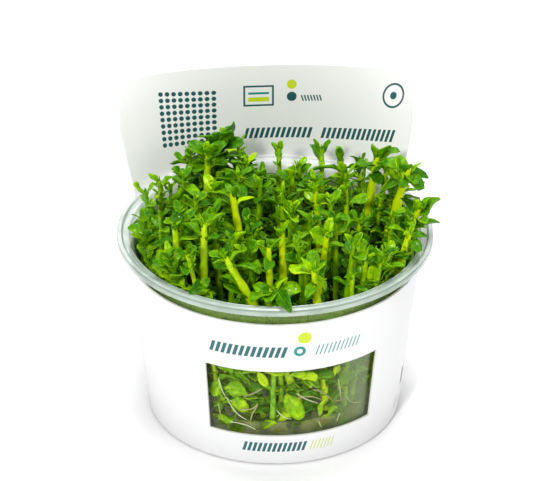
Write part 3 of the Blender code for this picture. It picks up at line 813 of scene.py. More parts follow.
def edge_material():
    """Cut edge of the card."""
    made, shader, place = new_material("card_edge", 0.7)
    ground, tooth = card_ground(place, (0.72, 0.71, 0.69), (0.80, 0.79, 0.77))
    feed(shader, Base_Color=ground, Normal=tooth)
    return made


def floor_material():
    """Plain pale floor."""
    return new_material("floor", 0.9, Base_Color=(0.98, 0.98, 0.98, 1.0))[0]


def deselect():
    """Leave nothing selected."""
    bpy.ops.object.select_all(action="DESELECT")


def start(name):
    """Name the piece that an operator has just added."""
    piece = bpy.context.object
    piece.name = name
    piece.data.name = name
    return piece


def settle(piece):
    """Put a finished piece's place into its mesh."""
    piece.data.transform(piece.matrix_world)
    piece.matrix_world = Matrix.Identity(4)


def join(name, pieces):
    """Join pieces into one."""
    deselect()
    for piece in pieces:
        piece.select_set(True)
    bpy.context.view_layer.objects.active = pieces[0]
    bpy.ops.object.join()
    return start(name)


def dress(piece, slot, nodes, *finishes):
    """Give a piece its finishes and its body, and hide the nodes that it stands for; the slot is not used."""
    for finish in finishes:
        piece.data.materials.append(finish)
    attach(piece, "root")
    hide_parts(*nodes)


def pick(piece, test):
    """Select the corners that pass a test, and open the piece for editing."""
    bpy.context.view_layer.objects.active = piece
    bpy.ops.object.mode_set(mode="EDIT")
    bpy.ops.mesh.select_mode(type="VERT")
    bpy.ops.mesh.select_all(action="DESELECT")
    bpy.ops.object.mode_set(mode="OBJECT")
    for corner in piece.data.vertices:
        corner.select = test(corner.co)
    bpy.ops.object.mode_set(mode="EDIT")


def turned(name, profile, sides):
    """Turn a shape: a disc at the profile's first point, its edge extruded from point to point."""
    deselect()
    radius, height = profile[0]
    bpy.ops.mesh.primitive_circle_add(vertices=sides, radius=radius, fill_type="TRIFAN",
                                      location=(0, 0, height))
    piece = start(name)
    settle(piece)
    bpy.ops.object.mode_set(mode="EDIT")
    bpy.ops.mesh.select_all(action="SELECT")
    bpy.ops.mesh.region_to_loop()
    for next_radius, next_height in profile[1:]:
        bpy.ops.mesh.extrude_edges_move(TRANSFORM_OT_translate={"value": (0, 0, next_height - height)})
        share = next_radius / radius
        bpy.ops.transform.resize(value=(share, share, 1), center_override=(0, 0, next_height))
        radius, height = next_radius, next_height
    bpy.ops.mesh.merge(type="CENTER")
    bpy.ops.mesh.select_all(action="SELECT")
    bpy.ops.mesh.normals_make_consistent(inside=False)
    bpy.ops.object.mode_set(mode="OBJECT")
    bpy.ops.object.shade_smooth_by_angle(angle=math.radians(SHARP_TURNED))
    return piece


def sleeve_radius(height):
    """Give the radius of the sleeve's outer face at a height."""
    slope = (SLEEVE_TOP_RADIUS - SLEEVE_FOOT_RADIUS) / SLEEVE_TOP
    return SLEEVE_FOOT_RADIUS + slope * height


def wall_radius(height):
    """Give the radius of the cup wall's outer face at a height."""
    return sleeve_radius(height) - CARD - CARD_TO_CUP


def room_radius(height):
    """Give the radius of the room inside the cup at a height."""
    return wall_radius(height) - WALL


def make_cup():
    """Turn the cup with its stepped rim, and make the rim's plastic milky."""
    base = wall_radius(0) - BASE_INSET
    throat = wall_radius(THROAT)
    step = RIM_RADIUS - RIM_STEP
    profile = [
        (base, 0), (wall_radius(0.0008), 0.0008), (throat, THROAT),
        (MOUTH_RADIUS + 0.0003, 0.0481), (step - 0.0002, 0.0483),
        (step + 0.0003, CUP_HEIGHT - 0.0008), (RIM_RADIUS - RIM_LIP, CUP_HEIGHT - 0.0009),
        (RIM_RADIUS - RIM_LIP, RIM_LIP_BOTTOM), (RIM_RADIUS, RIM_LIP_BOTTOM),
        (RIM_RADIUS, CUP_HEIGHT - 0.0006), (RIM_RADIUS - 0.0002, CUP_HEIGHT - 0.0002),
        (RIM_RADIUS - 0.0006, CUP_HEIGHT), (GROOVE_RADIUS + 0.0003, CUP_HEIGHT - 0.0001),
        (GROOVE_RADIUS + 0.0001, CUP_HEIGHT - 0.0004), (GROOVE_RADIUS - 0.0001, CUP_HEIGHT - 0.0006),
        (GROOVE_RADIUS - 0.0003, CUP_HEIGHT - 0.0004), (GROOVE_RADIUS - 0.0009, 0.0494),
        (MOUTH_RADIUS + 0.0005, 0.0492), (MOUTH_RADIUS + 0.0003, 0.0493), (MOUTH_RADIUS, 0.0490),
        (throat - WALL, THROAT), (room_radius(FLOOR), FLOOR + 0.0004), (base - WALL, FLOOR), (HUB, FLOOR),
    ]
    cup = turned("clear_cup", profile, CUP_SIDES)
    dress(cup, "clear_plastic", ["cup"], clear_material(), rim_material())
    for face in cup.data.polygons:
        face.material_index = int(face.center.z > MILKY_FROM)


def make_gel():
    """Turn the gel, which climbs a little where it meets the wall."""
    low = FLOOR + GEL_TO_CUP
    edge = room_radius(low) - GEL_TO_CUP
    top_edge = room_radius(GEL_TOP) - GEL_TO_CUP * 2
    profile = [
        (edge - GEL_EDGE, low), (edge, low + GEL_EDGE), (top_edge, GEL_TOP + GEL_MENISCUS),
        (top_edge - 0.0006, GEL_TOP + 0.0002), (top_edge - 0.0016, GEL_TOP), (HUB, GEL_TOP),
    ]
    gel = turned("cloudy_gel", profile, GEL_SIDES)
    dress(gel, "gel", ["culture_gel"], gel_material())


def tab_edge(place):
    """Give the height of the tab's edge at a place across it."""
    past = max(0.0, abs(place) - (TAB_HALF_WIDTH - TAB_CORNER))
    return TAB_TOP - TAB_CORNER + math.sqrt(max(0.0, TAB_CORNER ** 2 - past ** 2))


def tab_point(place, height):
    """Give a point on the tab's outer face, at or above the level of the rim."""
    rise = (height - TAB_RIM_LEVEL) / (TAB_TOP - TAB_RIM_LEVEL)
    curve = (1 - rise) / TAB_RADIUS + rise / TAB_TOP_CURVE
    across = math.sin(curve * place) / curve
    back = TAB_RADIUS + math.tan(math.radians(TAB_LEAN)) * (height - TAB_RIM_LEVEL)
    back -= (1 - math.cos(curve * place)) / curve
    lift = TAB_CORNER_RISE * rise * (place / TAB_HALF_WIDTH) ** 2
    turn = math.radians(180 - TAB_TURN)
    return Vector((back * math.sin(turn) - across * math.cos(turn),
                   back * math.cos(turn) + across * math.sin(turn), height + lift))


def ring_point(turn, radius, height):
    """Give a point at a turn in degrees from -Y towards +X."""
    angle = math.radians(turn)
    return Vector((radius * math.sin(angle), -radius * math.cos(angle), height))


def wrap(turn, height):
    """Wrap a point of the flat card round the cup and out into the tab."""
    from_tab = (turn - TAB_TURN + 180) % 360 - 180
    held = max(-TAB_HALF_TURN, min(TAB_HALF_TURN, from_tab))
    place = math.radians(held) * TAB_RADIUS
    if height >= TAB_RIM_LEVEL:
        return tab_point(place, height)
    past = abs(from_tab) - abs(held)
    radius = sleeve_radius(height)
    if height > TAB_FLARE_FROM and past < FLARE_FADE:
        foot = ring_point(TAB_TURN + held, sleeve_radius(TAB_FLARE_FROM), TAB_FLARE_FROM)
        share = (height - TAB_FLARE_FROM) / (TAB_RIM_LEVEL - TAB_FLARE_FROM)
        flared = foot.lerp(tab_point(place, TAB_RIM_LEVEL), share)
        radius += (flared.xy.length - radius) * (1 - past / FLARE_FADE) ** 2
        if past == 0:
            return flared
    return ring_point(turn, radius, height)


def flat_card(name, left, right, low, high, grid):
    """Lay out flat card in degrees across and mm up, with a grid of columns and rows."""
    deselect()
    bpy.ops.mesh.primitive_grid_add(x_subdivisions=grid[0], y_subdivisions=grid[1], size=1)
    bpy.ops.object.mode_set(mode="EDIT")
    bpy.ops.transform.resize(value=(right - left, high - low, 1))
    bpy.ops.transform.translate(value=((left + right) / 2, (low + high) / 2, 0))
    bpy.ops.object.mode_set(mode="OBJECT")
    return start(name)


def cut(piece, *lines):
    """Cut a piece through along planes of (point, direction across the plane)."""
    bpy.ops.object.mode_set(mode="EDIT")
    for point, across in lines:
        bpy.ops.mesh.select_all(action="SELECT")
        bpy.ops.mesh.bisect(plane_co=point, plane_no=across)
    bpy.ops.object.mode_set(mode="OBJECT")


def cut_window(body):
    """Cut the window out of the flat card."""
    low, high, half = WINDOW_BOTTOM / MM, WINDOW_TOP / MM, WINDOW_HALF_TURN
    cut(body, ((0, low, 0), LEVEL_CUT), ((0, high, 0), LEVEL_CUT),
        ((half, 0, 0), UPRIGHT_CUT), ((-half, 0, 0), UPRIGHT_CUT))
    pick(body, lambda corner: False)
    bpy.ops.mesh.select_mode(type="FACE")
    bpy.ops.object.mode_set(mode="OBJECT")
    for face in body.data.polygons:
        face.select = abs(face.center.x) < half and low < face.center.y < high
    bpy.ops.object.mode_set(mode="EDIT")
    bpy.ops.mesh.delete(type="FACE")
    bpy.ops.mesh.select_mode(type="VERT")
    bpy.ops.object.mode_set(mode="OBJECT")


def keep_layout(piece):
    """Keep the flat layout as the map that the print follows: turns across, and tenths of a metre up."""
    layer = piece.data.uv_layers[0]
    for loop in piece.data.loops:
        flat = piece.data.vertices[loop.vertex_index].co
        layer.data[loop.index].uv = (flat.x / MAP_TURN, flat.y / MAP_HEIGHT)


def make_sleeve():
    """Cut the card flat, wrap it round the cup and give it its thickness."""
    seam = TAB_TURN - 180
    body = flat_card("body", seam - 180, seam + 180, SLEEVE_FOOT / MM, SLEEVE_TOP / MM, BODY_GRID)
    left, right = seam - 180 + TAB_HALF_TURN, seam + 180 - TAB_HALF_TURN
    cut(body, ((0, TAB_FLARE_FROM / MM, 0), LEVEL_CUT), ((left, 0, 0), UPRIGHT_CUT),
        ((right, 0, 0), UPRIGHT_CUT))
    cut_window(body)
    tab = flat_card("tab", TAB_TURN - TAB_HALF_TURN, TAB_TURN + TAB_HALF_TURN, 0, 1, TAB_GRID)
    for corner in tab.data.vertices:
        place = math.radians(corner.co.x - TAB_TURN) * TAB_RADIUS
        corner.co.y = (SLEEVE_TOP + (tab_edge(place) - SLEEVE_TOP) * corner.co.y) / MM
    for sheet in (body, tab):
        keep_layout(sheet)
        for corner in sheet.data.vertices:
            corner.co = wrap(corner.co.x, corner.co.y * MM)
    sleeve = join("printed_sleeve", [body, tab])
    pick(sleeve, lambda corner: True)
    bpy.ops.mesh.remove_doubles(threshold=0.00002)
    bpy.ops.object.mode_set(mode="OBJECT")
    solid = sleeve.modifiers.new("thickness", "SOLIDIFY")
    solid.thickness = CARD
    solid.offset = -1
    solid.material_offset = 1
    solid.material_offset_rim = 2
    dress(sleeve, "card", ["card_sleeve"], front_material(), tab_material(), edge_material())
    bpy.ops.object.modifier_apply(modifier="thickness")
    bpy.ops.object.shade_smooth_by_angle(angle=math.radians(SHARP_CARD))


def model_leaf(name, widths, cup, droop, finish):
    """Model a leaf one unit long: a grid whose rows are narrowed and drooped and whose sides are cupped."""
    deselect()
    rows = len(widths) - 1
    bpy.ops.mesh.primitive_grid_add(x_subdivisions=LEAF_COLUMNS, y_subdivisions=rows, size=1,
                                    location=(0, 0.5, 0))
    leaf = start(name)
    settle(leaf)
    for row, width in enumerate(widths):
        along = row / rows
        pick(leaf, lambda corner: abs(corner.y - along) < AT_ROW)
        bpy.ops.transform.resize(value=(width, 1, 1), center_override=(0, along, 0))
        bpy.ops.transform.translate(value=(0, 0, -droop * along ** 2))
        for share in (0.25, 0.5):
            aside = share * width
            pick(leaf, lambda corner: abs(corner.y - along) < AT_ROW and abs(abs(corner.x) - aside) < AT_ROW)
            bpy.ops.transform.translate(value=(0, 0, cup * width * (2 * share) ** 2))
    bpy.ops.object.mode_set(mode="OBJECT")
    solid = leaf.modifiers.new("thickness", "SOLIDIFY")
    solid.thickness = LEAF_THICKNESS
    solid.offset = 0
    bpy.ops.object.modifier_apply(modifier="thickness")
    bpy.ops.object.shade_smooth()
    leaf.data.materials.append(finish)
    return leaf


def model_leaves():
    """Model the leaf shapes that are copied."""
    finish = leaf_material()
    pointed = (0.16, 0.34, 0.68, 0.92, 1.00, 0.93, 0.72, 0.34)
    rounded = (0.18, 0.42, 0.80, 1.00, 1.04, 1.00, 0.84, 0.50)
    slim = (0.20, 0.34, 0.52, 0.66, 0.70, 0.62, 0.44, 0.16)
    return {
        "bud": model_leaf("bud_leaf", slim, 0.10, 0.06, finish),
        "young": model_leaf("young_leaf", pointed, 0.12, 0.14, finish),
        "open": model_leaf("open_leaf", rounded, 0.08, 0.20, finish),
        "spoon": model_leaf("spoon_leaf", rounded, 0.18, -0.10, finish),
        "curled": model_leaf("curled_leaf", pointed, 0.16, 0.42, finish),
    }


def set_tone(piece, value):
    """Store how light a piece is on its mesh."""
    tones = piece.data.attributes.new("tone", "FLOAT", "POINT")
    tones.data.foreach_set("value", [value] * len(piece.data.vertices))


def copy_piece(model, tone):
    """Copy a model with its own mesh and tone."""
    piece = model.copy()
    piece.data = model.data.copy()
    bpy.context.scene.collection.objects.link(piece)
    set_tone(piece, tone)
    return piece


def copy_leaf(shape, matrix, tone, chance, wild=1.0):
    """Copy a leaf to its place with a twist, a curl and a wave of its own."""
    leaf = copy_piece(shape, tone)
    twist = chance.uniform(-LEAF_TWIST, LEAF_TWIST) * wild
    curl = chance.uniform(*LEAF_CURL) * wild
    sweep = chance.uniform(-LEAF_SWEEP, LEAF_SWEEP)
    phase = chance.uniform(0, math.tau)
    narrow = chance.uniform(NARROWEST, 1.0)
    for corner in leaf.data.vertices:
        x, along, z = corner.co
        x *= narrow
        turn = twist * along
        wave = LEAF_WAVE * math.sin(6 * along + phase + 3 * x) * (x * 2 + 0.3)
        corner.co = (x * math.cos(turn) - z * math.sin(turn) + sweep * along ** 2, along,
                     z * math.cos(turn) + x * math.sin(turn) + curl * along ** 2 + wave)
    leaf.data.transform(matrix)
    return leaf


def model_rod(finish):
    """Model a straight rod with many rings, which is copied for every stem and root."""
    deselect()
    bpy.ops.mesh.primitive_cylinder_add(vertices=ROD_SIDES, radius=1, depth=1, end_fill_type="NGON",
                                        location=(0, 0, 0.5))
    rod = start("rod")
    settle(rod)
    for ring in range(1, ROD_RINGS):
        cut(rod, ((0, 0, ring / ROD_RINGS), (0, 0, 1)))
    bpy.ops.object.shade_smooth_by_angle(angle=math.radians(SHARP_ROD))
    rod.data.materials.append(finish)
    return rod


def stem_point(stem, share):
    """Give a point on the stem's middle line, from 0 at its foot to 1 at its tip."""
    return stem.foot.lerp(stem.bend, share).lerp(stem.bend.lerp(stem.tip, share), share)


def stem_axes(stem, share):
    """Give the stem's direction and the two directions that its leaves point in."""
    along = (stem.bend.lerp(stem.tip, share) - stem.foot.lerp(stem.bend, share)).normalized()
    facing = Vector((math.cos(stem.turn), math.sin(stem.turn), 0.0))
    first = (facing - along * facing.dot(along)).normalized()
    return along, first, along.cross(first)


def bend_rod(rod, stem, nodes, tone):
    """Copy the rod along a stem, swollen at its nodes and drawn in towards its tip."""
    piece = copy_piece(rod, tone)
    length = (stem.tip - stem.foot).length
    for corner in piece.data.vertices:
        share = corner.co.z
        along, first, second = stem_axes(stem, share)
        swell = sum(math.exp(-((share - node) * length / NODE_REACH) ** 2) for node in nodes)
        radius = stem.radius * (STEM_SHARE + NODE_SWELL * min(swell, 1.0)) * (1 - TIP_TAPER * share ** 6)
        corner.co = stem_point(stem, share) + (first * corner.co.x + second * corner.co.y) * radius
    return piece


def in_clear_room(point):
    """Say whether a point lies in one of the boxes that stay clear."""
    return any(all(low <= value / MM <= high for value, low, high in zip(point, *room))
               for room in CLEAR_ROOMS)


def has_room(point):
    """Say whether a point of a leaf is clear of the gel, the wall, the rim and the tab."""
    radius = point.xy.length
    if point.z < CUP_HEIGHT + LEVEL_GAP:
        mouth = min(room_radius(point.z), MOUTH_RADIUS)
        return point.z > STEM_FOOT + LEVEL_GAP and radius < mouth - WALL_GAP
    at_tab = point.y > TAB_RADIUS * math.cos(TAB_HALF_WIDTH / TAB_RADIUS + TAB_SIDE)
    return radius < (RIM_RADIUS - WALL_GAP if at_tab else RIM_RADIUS + RIM_REACH)


def leaf_matrix(root, out, along, lift, length, breadth, roll=0.0):
    """Give the matrix that puts a leaf on its stem."""
    forward = out * math.cos(lift) + along * math.sin(lift)
    upper = along * math.cos(lift) - out * math.sin(lift)
    across = forward.cross(upper)
    across, upper = (across * math.cos(roll) + upper * math.sin(roll),
                     upper * math.cos(roll) - across * math.sin(roll))
    matrix = Matrix((across * breadth, forward * length, upper * length)).transposed().to_4x4()
    matrix.translation = root
    return matrix


def heading_out(heading):
    """Give the level direction of a heading in radians."""
    return Vector((math.cos(heading), math.sin(heading), 0))


def leaf_fits(matrix):
    """Say whether a leaf's tip and sides have room."""
    return all(has_room(matrix @ end) for end in LEAF_ENDS)


def is_inside_wall(point):
    """Say whether a point lies inside the cup's wall and above its floor."""
    return point.z > FLOOR + FLOOR_GAP and point.xy.length < room_radius(point.z) - WALL_GAP


def plan_stem(row, number, bright, bushy, crowned=False):
    """Turn a row of mm into a stem with its own small differences."""
    foot_x, foot_y, tip_x, tip_y, tip_z, thickness, turn, leaf_length = row
    foot = Vector((foot_x * MM, foot_y * MM, STEM_FOOT))
    tip = Vector((tip_x * MM, tip_y * MM, tip_z * MM))
    bend = foot.lerp(tip, 0.5)
    bend.xy = bend.xy.lerp(foot.xy, STEM_SWAY * 2)
    chance = random.Random(SEED + number)
    jitter = [chance.uniform(-1, 1) for _ in range(4 * len(LEAF_PAIRS))]
    return Stem(foot, bend, tip, thickness * MM / 2, math.radians(turn), leaf_length * MM, jitter, chance,
                bright, bushy, crowned)


def pair_share(stem, pair):
    """Give the place of a pair of leaves on its stem."""
    drop = LEAF_PAIRS[pair][0] * (1 + 0.16 * stem.jitter[4 * pair])
    return 1 - drop * MM / (stem.tip - stem.foot).length


def pick_shape(shapes, pair, chance):
    """Choose a leaf shape by its place on the stem."""
    if pair == 0:
        return shapes[chance.choice(("bud", "young", "young", "spoon"))]
    if pair == 1:
        return shapes[chance.choice(("young", "open", "spoon", "curled"))]
    return shapes[chance.choice(("open", "bud", "curled", "spoon", "young"))]


def grow_leaf(stem, pair, share, out, along, length, lift, roll, shape, tone):
    """Grow a leaf in the first tilt that has room, or none."""
    for extra, size in LEAF_TRIES:
        tilt = math.radians(min(lift + extra, STEEPEST_LEAF))
        root = stem_point(stem, share) + out * stem.radius * LEAF_SEAT
        reach = length * size
        matrix = leaf_matrix(root, out, along, tilt, reach, reach * LEAF_BREADTH, roll)
        if leaf_fits(matrix):
            return [copy_leaf(shape, matrix, tone, stem.chance)]
    return []


def leaf_tone(pair, chance):
    """Give a leaf's tone: darker from pair to pair, with now and then a bright one."""
    drop = LEAF_PAIRS[pair][0]
    bright = BRIGHT_LEAF if chance.random() < BRIGHT_LEAF_CHANCE else 0
    return TOP_TONE - TONE_FALL * drop + bright + TONE_PLAY * chance.uniform(-1, 1)


def grow_pair(stem, pair, share, shapes):
    """Grow a pair of leaves, and now and then a small side shoot's leaves between them."""
    chance = stem.chance
    along, first, second = stem_axes(stem, share)
    if pair % 2:
        first, second = second, first
    smallest = LEAST_TOP_LEAF if pair < 2 else LEAST_LEAF
    grown = []
    for side in (1, -1):
        swing = math.radians(SWING_PLAY * chance.uniform(-1, 1))
        straight = first * side
        out = straight * math.cos(swing) + along.cross(straight) * math.sin(swing)
        length = stem.leaf_length * LEAF_PAIRS[pair][2] * chance.uniform(smallest, 1.0)
        lift = LEAF_PAIRS[pair][1] + TILT_PLAY * stem.jitter[4 * pair + 1 + (side > 0)]
        roll = math.radians(ROLL_PLAY * chance.uniform(-1, 1))
        tone = leaf_tone(pair, chance) + PAIR_TONE_PLAY * stem.jitter[4 * pair + 2]
        shape = pick_shape(shapes, pair, chance)
        grown += grow_leaf(stem, pair, share, out, along, length, lift, roll, shape, tone)
    for side in (1, -1):
        if pair > 0 and chance.random() < SIDE_LEAF_CHANCE:
            length = stem.leaf_length * chance.uniform(*SIDE_LEAF_SIZE)
            lift = chance.uniform(*SIDE_LEAF_TILT)
            grown += grow_leaf(stem, pair, share, second * side, along, length, lift, 0, shapes["young"],
                               leaf_tone(pair, chance))
    return grown


def is_bare(stem, pair):
    """Say whether a stem has no leaves at a pair's place."""
    if stem.crowned and LEAF_PAIRS[pair][0] < CROWN_DEPTH:
        return True
    low, high = BARE_STRETCH
    on_stretch = low < LEAF_PAIRS[pair][0] < high
    return on_stretch and (stem.bright or stem.foot.y < BARE_FROM) and stem.chance.random() < BARE_CHANCE


def grow_chosen(stem, number, shapes):
    """Grow the leaves that stand out on a shoot."""
    grown = []
    for drop, heading, tilt, length, breadth, tone in CHOSEN_LEAVES.get(number, ()):
        share = 1 - drop * MM / (stem.tip - stem.foot).length
        out = heading_out(math.radians(heading))
        root = stem_point(stem, share) + out * stem.radius * CHOSEN_SEAT
        matrix = leaf_matrix(root, out, UP, math.radians(tilt), length * MM, breadth * MM)
        grown.append(copy_leaf(shapes["open"], matrix, tone, stem.chance))
    return grown


def grow_bud(stem, shapes):
    """Grow the two small leaves of the bud at a stem's tip."""
    along, _, second = stem_axes(stem, 1.0)
    grown = []
    for side in (1, -1):
        length = stem.leaf_length * stem.chance.uniform(*BUD_SIZE)
        root = stem.tip - along * BUD_SEAT
        matrix = leaf_matrix(root, second * side, along, math.radians(BUD_TILT), length, length * BUD_BREADTH)
        grown.append(copy_leaf(shapes["bud"], matrix, TOP_TONE + BUD_BRIGHTER, stem.chance))
    return grown


def grow_shoot(name, stem, rod, shapes, chosen):
    """Grow a stem, its pairs of leaves and the bud at its tip, and join them with its chosen leaves."""
    pairs = len(LEAF_PAIRS) if stem.bushy else BUSHY_PAIRS
    shares = [pair_share(stem, pair) for pair in range(pairs)]
    tone = BRIGHT_STEM_TONE if stem.bright else STEM_TONE
    tone += STEM_TONE_PLAY * stem.jitter[0]
    # Painted light: stems are lighter towards +X and darker towards -X, as if lit from the right.
    tone += STEM_LIGHT_RISE * stem.tip.x / RIM_RADIUS
    grown = [bend_rod(rod, stem, shares, tone)]
    for pair, share in enumerate(shares):
        if share > LOWEST_PAIR and not is_bare(stem, pair):
            grown += grow_pair(stem, pair, share, shapes)
    if not stem.crowned:
        grown += grow_bud(stem, shapes)
    return join(name, [*grown, *chosen])


def make_shoots(rod, shapes):
    """Grow every shoot."""
    for number, row in enumerate(SHOOTS, 1):
        stem = plan_stem(row, number - 1, number in BRIGHT_STEMS, number in BUSHY_SHOOTS,
                         number in CROWNED_SHOOTS)
        chosen = grow_chosen(stem, number, shapes)
        shoot = grow_shoot(f"leafy_shoot_{number:02d}", stem, rod, shapes, chosen)
        dress(shoot, "plant", [f"shoot_{number:02d}"])


def young_rows():
    """Spread young shoots over the gaps between the others, as seeds lie in a sunflower."""
    chance = random.Random(SEED)
    near = [Vector((row[0], row[1], 0)) * MM for row in SHOOTS]
    rows = []
    for number in range(YOUNG_SHOOTS):
        reach = YOUNG_SPREAD * math.sqrt((number + 0.5) / YOUNG_SHOOTS)
        angle = number * math.pi * (3 - math.sqrt(5))
        foot = Vector((reach * math.cos(angle), reach * math.sin(angle), 0))
        lean = 1.0 + YOUNG_LEAN * chance.random()
        stray_x = chance.uniform(-YOUNG_STRAY, YOUNG_STRAY)
        stray_y = chance.uniform(-YOUNG_STRAY, YOUNG_STRAY)
        tip = foot * lean + Vector((stray_x, stray_y, 0)) * MM
        height = chance.uniform(*YOUNG_HEIGHT) - (FRONT_LOWER if foot.y < BARE_FROM else 0)
        thickness = chance.uniform(*YOUNG_THICKNESS)
        turn = chance.uniform(0, 180)
        leaf = chance.uniform(*YOUNG_LEAF)
        crowded = any((foot - other).length < YOUNG_GAP for other in near)
        blocked = in_clear_room(foot + HALF_HEIGHT) or in_clear_room(tip + HALF_HEIGHT)
        thinned = foot.y < BARE_FROM and number % 2
        if not crowded and not blocked and not thinned:
            rows.append((foot.x / MM, foot.y / MM, tip.x / MM, tip.y / MM, height, thickness, turn, leaf))
    return rows


def make_young_shoots(rod, shapes):
    """Grow the young shoots, joined into a few pieces."""
    rows = [*SLIGHT_SHOOTS, *young_rows()]
    for group in range(YOUNG_GROUPS):
        grown = []
        for number, row in list(enumerate(rows))[group::YOUNG_GROUPS]:
            stem = plan_stem(row, YOUNG_SEED + number, False, number // YOUNG_GROUPS % 2 == 0)
            chosen = grow_chosen(stem, len(SHOOTS) + 1 + number, shapes)
            grown.append(grow_shoot("young", stem, rod, shapes, chosen))
        dress(join(f"young_shoots_{group + 1}", grown), "plant", [])


def make_low_leaves(shapes):
    """Scatter the leaves that fill the cup below the tips."""
    chance = random.Random(SEED + 5)
    kinds = [shapes[name] for name in ("open", "spoon", "curled", "young")]
    groups = [[] for _ in range(LOW_GROUPS)]
    for number in range(LOW_LEAVES + WALL_LEAVES):
        if number < LOW_LEAVES:
            height = chance.uniform(*LOW_HEIGHTS)
            inset = room_radius(height) * (1 - chance.uniform(0.0, 1.0) ** LOW_CROWDING)
        else:
            height = chance.uniform(*WALL_HEIGHTS)
            inset = chance.uniform(0.0, WALL_INSET)
        reach = room_radius(height) - LOW_LEAF_INSET - inset
        turn = chance.uniform(0, math.tau)
        root = Vector((reach * math.cos(turn), reach * math.sin(turn), height))
        in_front = root.y < BARE_FROM and abs(root.x) < FRONT_HALF
        at_back = root.y > BACK_FROM
        if (in_front and height > FRONT_TOP) or (at_back and height > BACK_TOP):
            continue
        swing = math.pi if number < LOW_LEAVES else WALL_SWING
        out = heading_out(turn + math.pi + chance.uniform(-1, 1) * swing)
        length = chance.uniform(*LOW_LENGTHS)
        lift = math.radians(chance.uniform(*LOW_TILTS))
        matrix = leaf_matrix(root, out, UP, lift, length, length * LEAF_BREADTH,
                             chance.uniform(-LOOSE_ROLL, LOOSE_ROLL))
        # Painted light: leaves near the wall get a brighter tone, as if lit through the clear wall.
        lit_at_wall = reach > room_radius(height) - NEAR_WALL
        tone = (WALL_LIGHT_TONE if lit_at_wall else LOW_TONE) * chance.uniform(*LOW_TONE_PLAY)
        shape = chance.choice(kinds)
        if leaf_fits(matrix) and has_room(root) and not in_clear_room(root):
            groups[number % LOW_GROUPS].append(copy_leaf(shape, matrix, tone, chance))
    for group, grown in enumerate(groups):
        dress(join(f"low_leaves_{group + 1}", grown), "plant", [])


def wall_place(turn, height, depth):
    """Give a point inside the wall, by its turn, its height in mm and its depth from the wall in mm."""
    return ring_point(turn, room_radius(height * MM) - depth * MM, height * MM)


def make_window_leaves(shapes):
    """Lay the leaves that show through the window against the wall."""
    kinds = [shapes[name] for name in ("open", "spoon", "young")]
    chance = random.Random(SEED + 6)
    grown = []
    for number, (turn, height, length, breadth, lean, depth, tone) in enumerate(WINDOW_LEAVES):
        outward = ring_point(turn, 1.0, 0.0)
        upright = (wall_place(turn, height + 1, 0) - wall_place(turn, height, 0)).normalized()
        side = upright.cross(outward)
        lean = math.radians(lean)
        forward = upright * math.cos(lean) + side * math.sin(lean)
        root = wall_place(turn, height, depth + WINDOW_GAP) - forward * length * MM / 2
        matrix = Matrix((forward.cross(outward) * breadth * MM, forward * length * MM,
                         outward * -length * MM)).transposed().to_4x4()
        matrix.translation = root
        shape = kinds[number % len(kinds)]
        grown.append(copy_leaf(shape, matrix, tone + WINDOW_TONE, chance, WINDOW_WILD))
    for _ in range(BACKING_LEAVES):
        turn = chance.uniform(-BACKING_TURN, BACKING_TURN)
        height = chance.uniform(*BACKING_HEIGHTS)
        root = wall_place(turn, height, chance.uniform(*BACKING_DEPTHS))
        out = heading_out(chance.uniform(0, math.tau))
        length = chance.uniform(*BACKING_LENGTHS) * MM
        matrix = leaf_matrix(root, out, UP, chance.uniform(*BACKING_TILTS), length,
                             length * LEAF_BREADTH, chance.uniform(-LOOSE_ROLL, LOOSE_ROLL))
        if all(is_inside_wall(matrix @ end) for end in LEAF_ENDS):
            shape = chance.choice(kinds)
            grown.append(copy_leaf(shape, matrix, chance.uniform(*BACKING_TONES), chance))
    dress(join("window_leaves", grown), "plant", [])


def make_roots(rod):
    """Lay roots along the inside of the window."""
    grown = []
    for first, middle, last, depth, thickness, tone in WINDOW_ROOTS:
        points = [wall_place(turn, height, depth + thickness / 2) for turn, height in (first, middle, last)]
        stem = Stem(*points, thickness * MM / 2, ROOT_TURN, 0, (), None, False, False, False)
        grown.append(bend_rod(rod, stem, (), tone))
    dress(join("roots", grown), "plant", [])


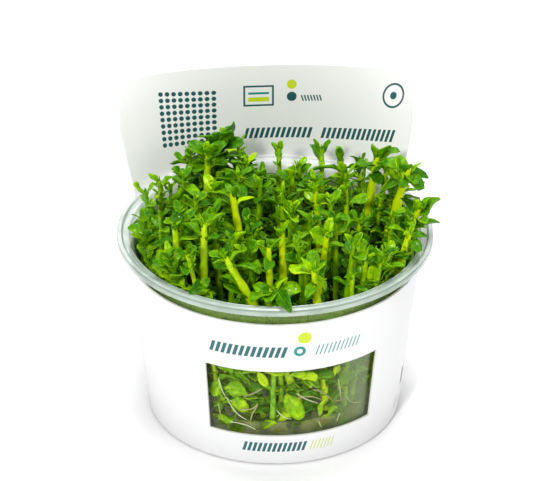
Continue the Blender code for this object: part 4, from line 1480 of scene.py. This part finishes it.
def make_plants():
    """Model a rod and the leaf shapes, grow everything from them and take them away."""
    stem_rod = model_rod(stem_material())
    root_rod = model_rod(root_material())
    shapes = model_leaves()
    make_shoots(stem_rod, shapes)
    make_young_shoots(stem_rod, shapes)
    make_low_leaves(shapes)
    make_window_leaves(shapes)
    make_roots(root_rod)
    for model in [stem_rod, root_rod, *shapes.values()]:
        bpy.data.objects.remove(model)


def set_camera():
    """Stand the camera where the photograph was taken from."""
    azimuth, elevation, roll = CAMERA_AZIMUTH, CAMERA_ELEVATION, CAMERA_ROLL
    level_right = Vector((math.cos(azimuth), math.sin(azimuth), 0))
    back = Vector((-math.sin(azimuth), math.cos(azimuth), 0))
    forward = back * math.cos(elevation) - Vector((0, 0, math.sin(elevation)))
    level_up = back * math.sin(elevation) + Vector((0, 0, math.cos(elevation)))
    right = level_right * math.cos(roll) + level_up * math.sin(roll)
    up = level_up * math.cos(roll) - level_right * math.sin(roll)
    aim = level_right * AIM_RIGHT + Vector((0, 0, AIM_HEIGHT))
    bpy.ops.object.camera_add()
    camera = bpy.context.object
    camera.matrix_world = Matrix((right, up, -forward)).transposed().to_4x4()
    camera.location = aim - forward * CAMERA_DISTANCE
    camera.data.sensor_width = SENSOR_WIDTH
    camera.data.lens = SENSOR_WIDTH * FOCAL_PIXELS / PICTURE_WIDTH
    bpy.context.scene.camera = camera


def area_light(name, place, size, power):
    """Add a soft light that faces the cup."""
    bpy.ops.object.light_add(type="AREA", location=place)
    light = bpy.context.object
    light.name = name
    light.data.size = size
    light.data.energy = power
    aim = LIGHT_AIM - Vector(place)
    light.rotation_euler = aim.to_track_quat("-Z", "Y").to_euler()


def set_stage():
    """Lay the floor and set the lights."""
    deselect()
    bpy.ops.mesh.primitive_plane_add(size=FLOOR_SIZE)
    floor = start("floor")
    floor.data.materials.append(floor_material())
    for light in LIGHTS:
        area_light(*light)
    world = bpy.data.worlds.new("studio")
    world.use_nodes = True
    background = world.node_tree.nodes["Background"]
    background.inputs["Color"].default_value = (1, 1, 1, 1)
    background.inputs["Strength"].default_value = SURROUND
    bpy.context.scene.world = world
    bpy.context.scene.view_settings.view_transform = "Standard"
    bpy.context.scene.cycles.use_denoising = True


set_camera()
set_stage()
make_cup()
make_gel()
make_sleeve()
make_plants()
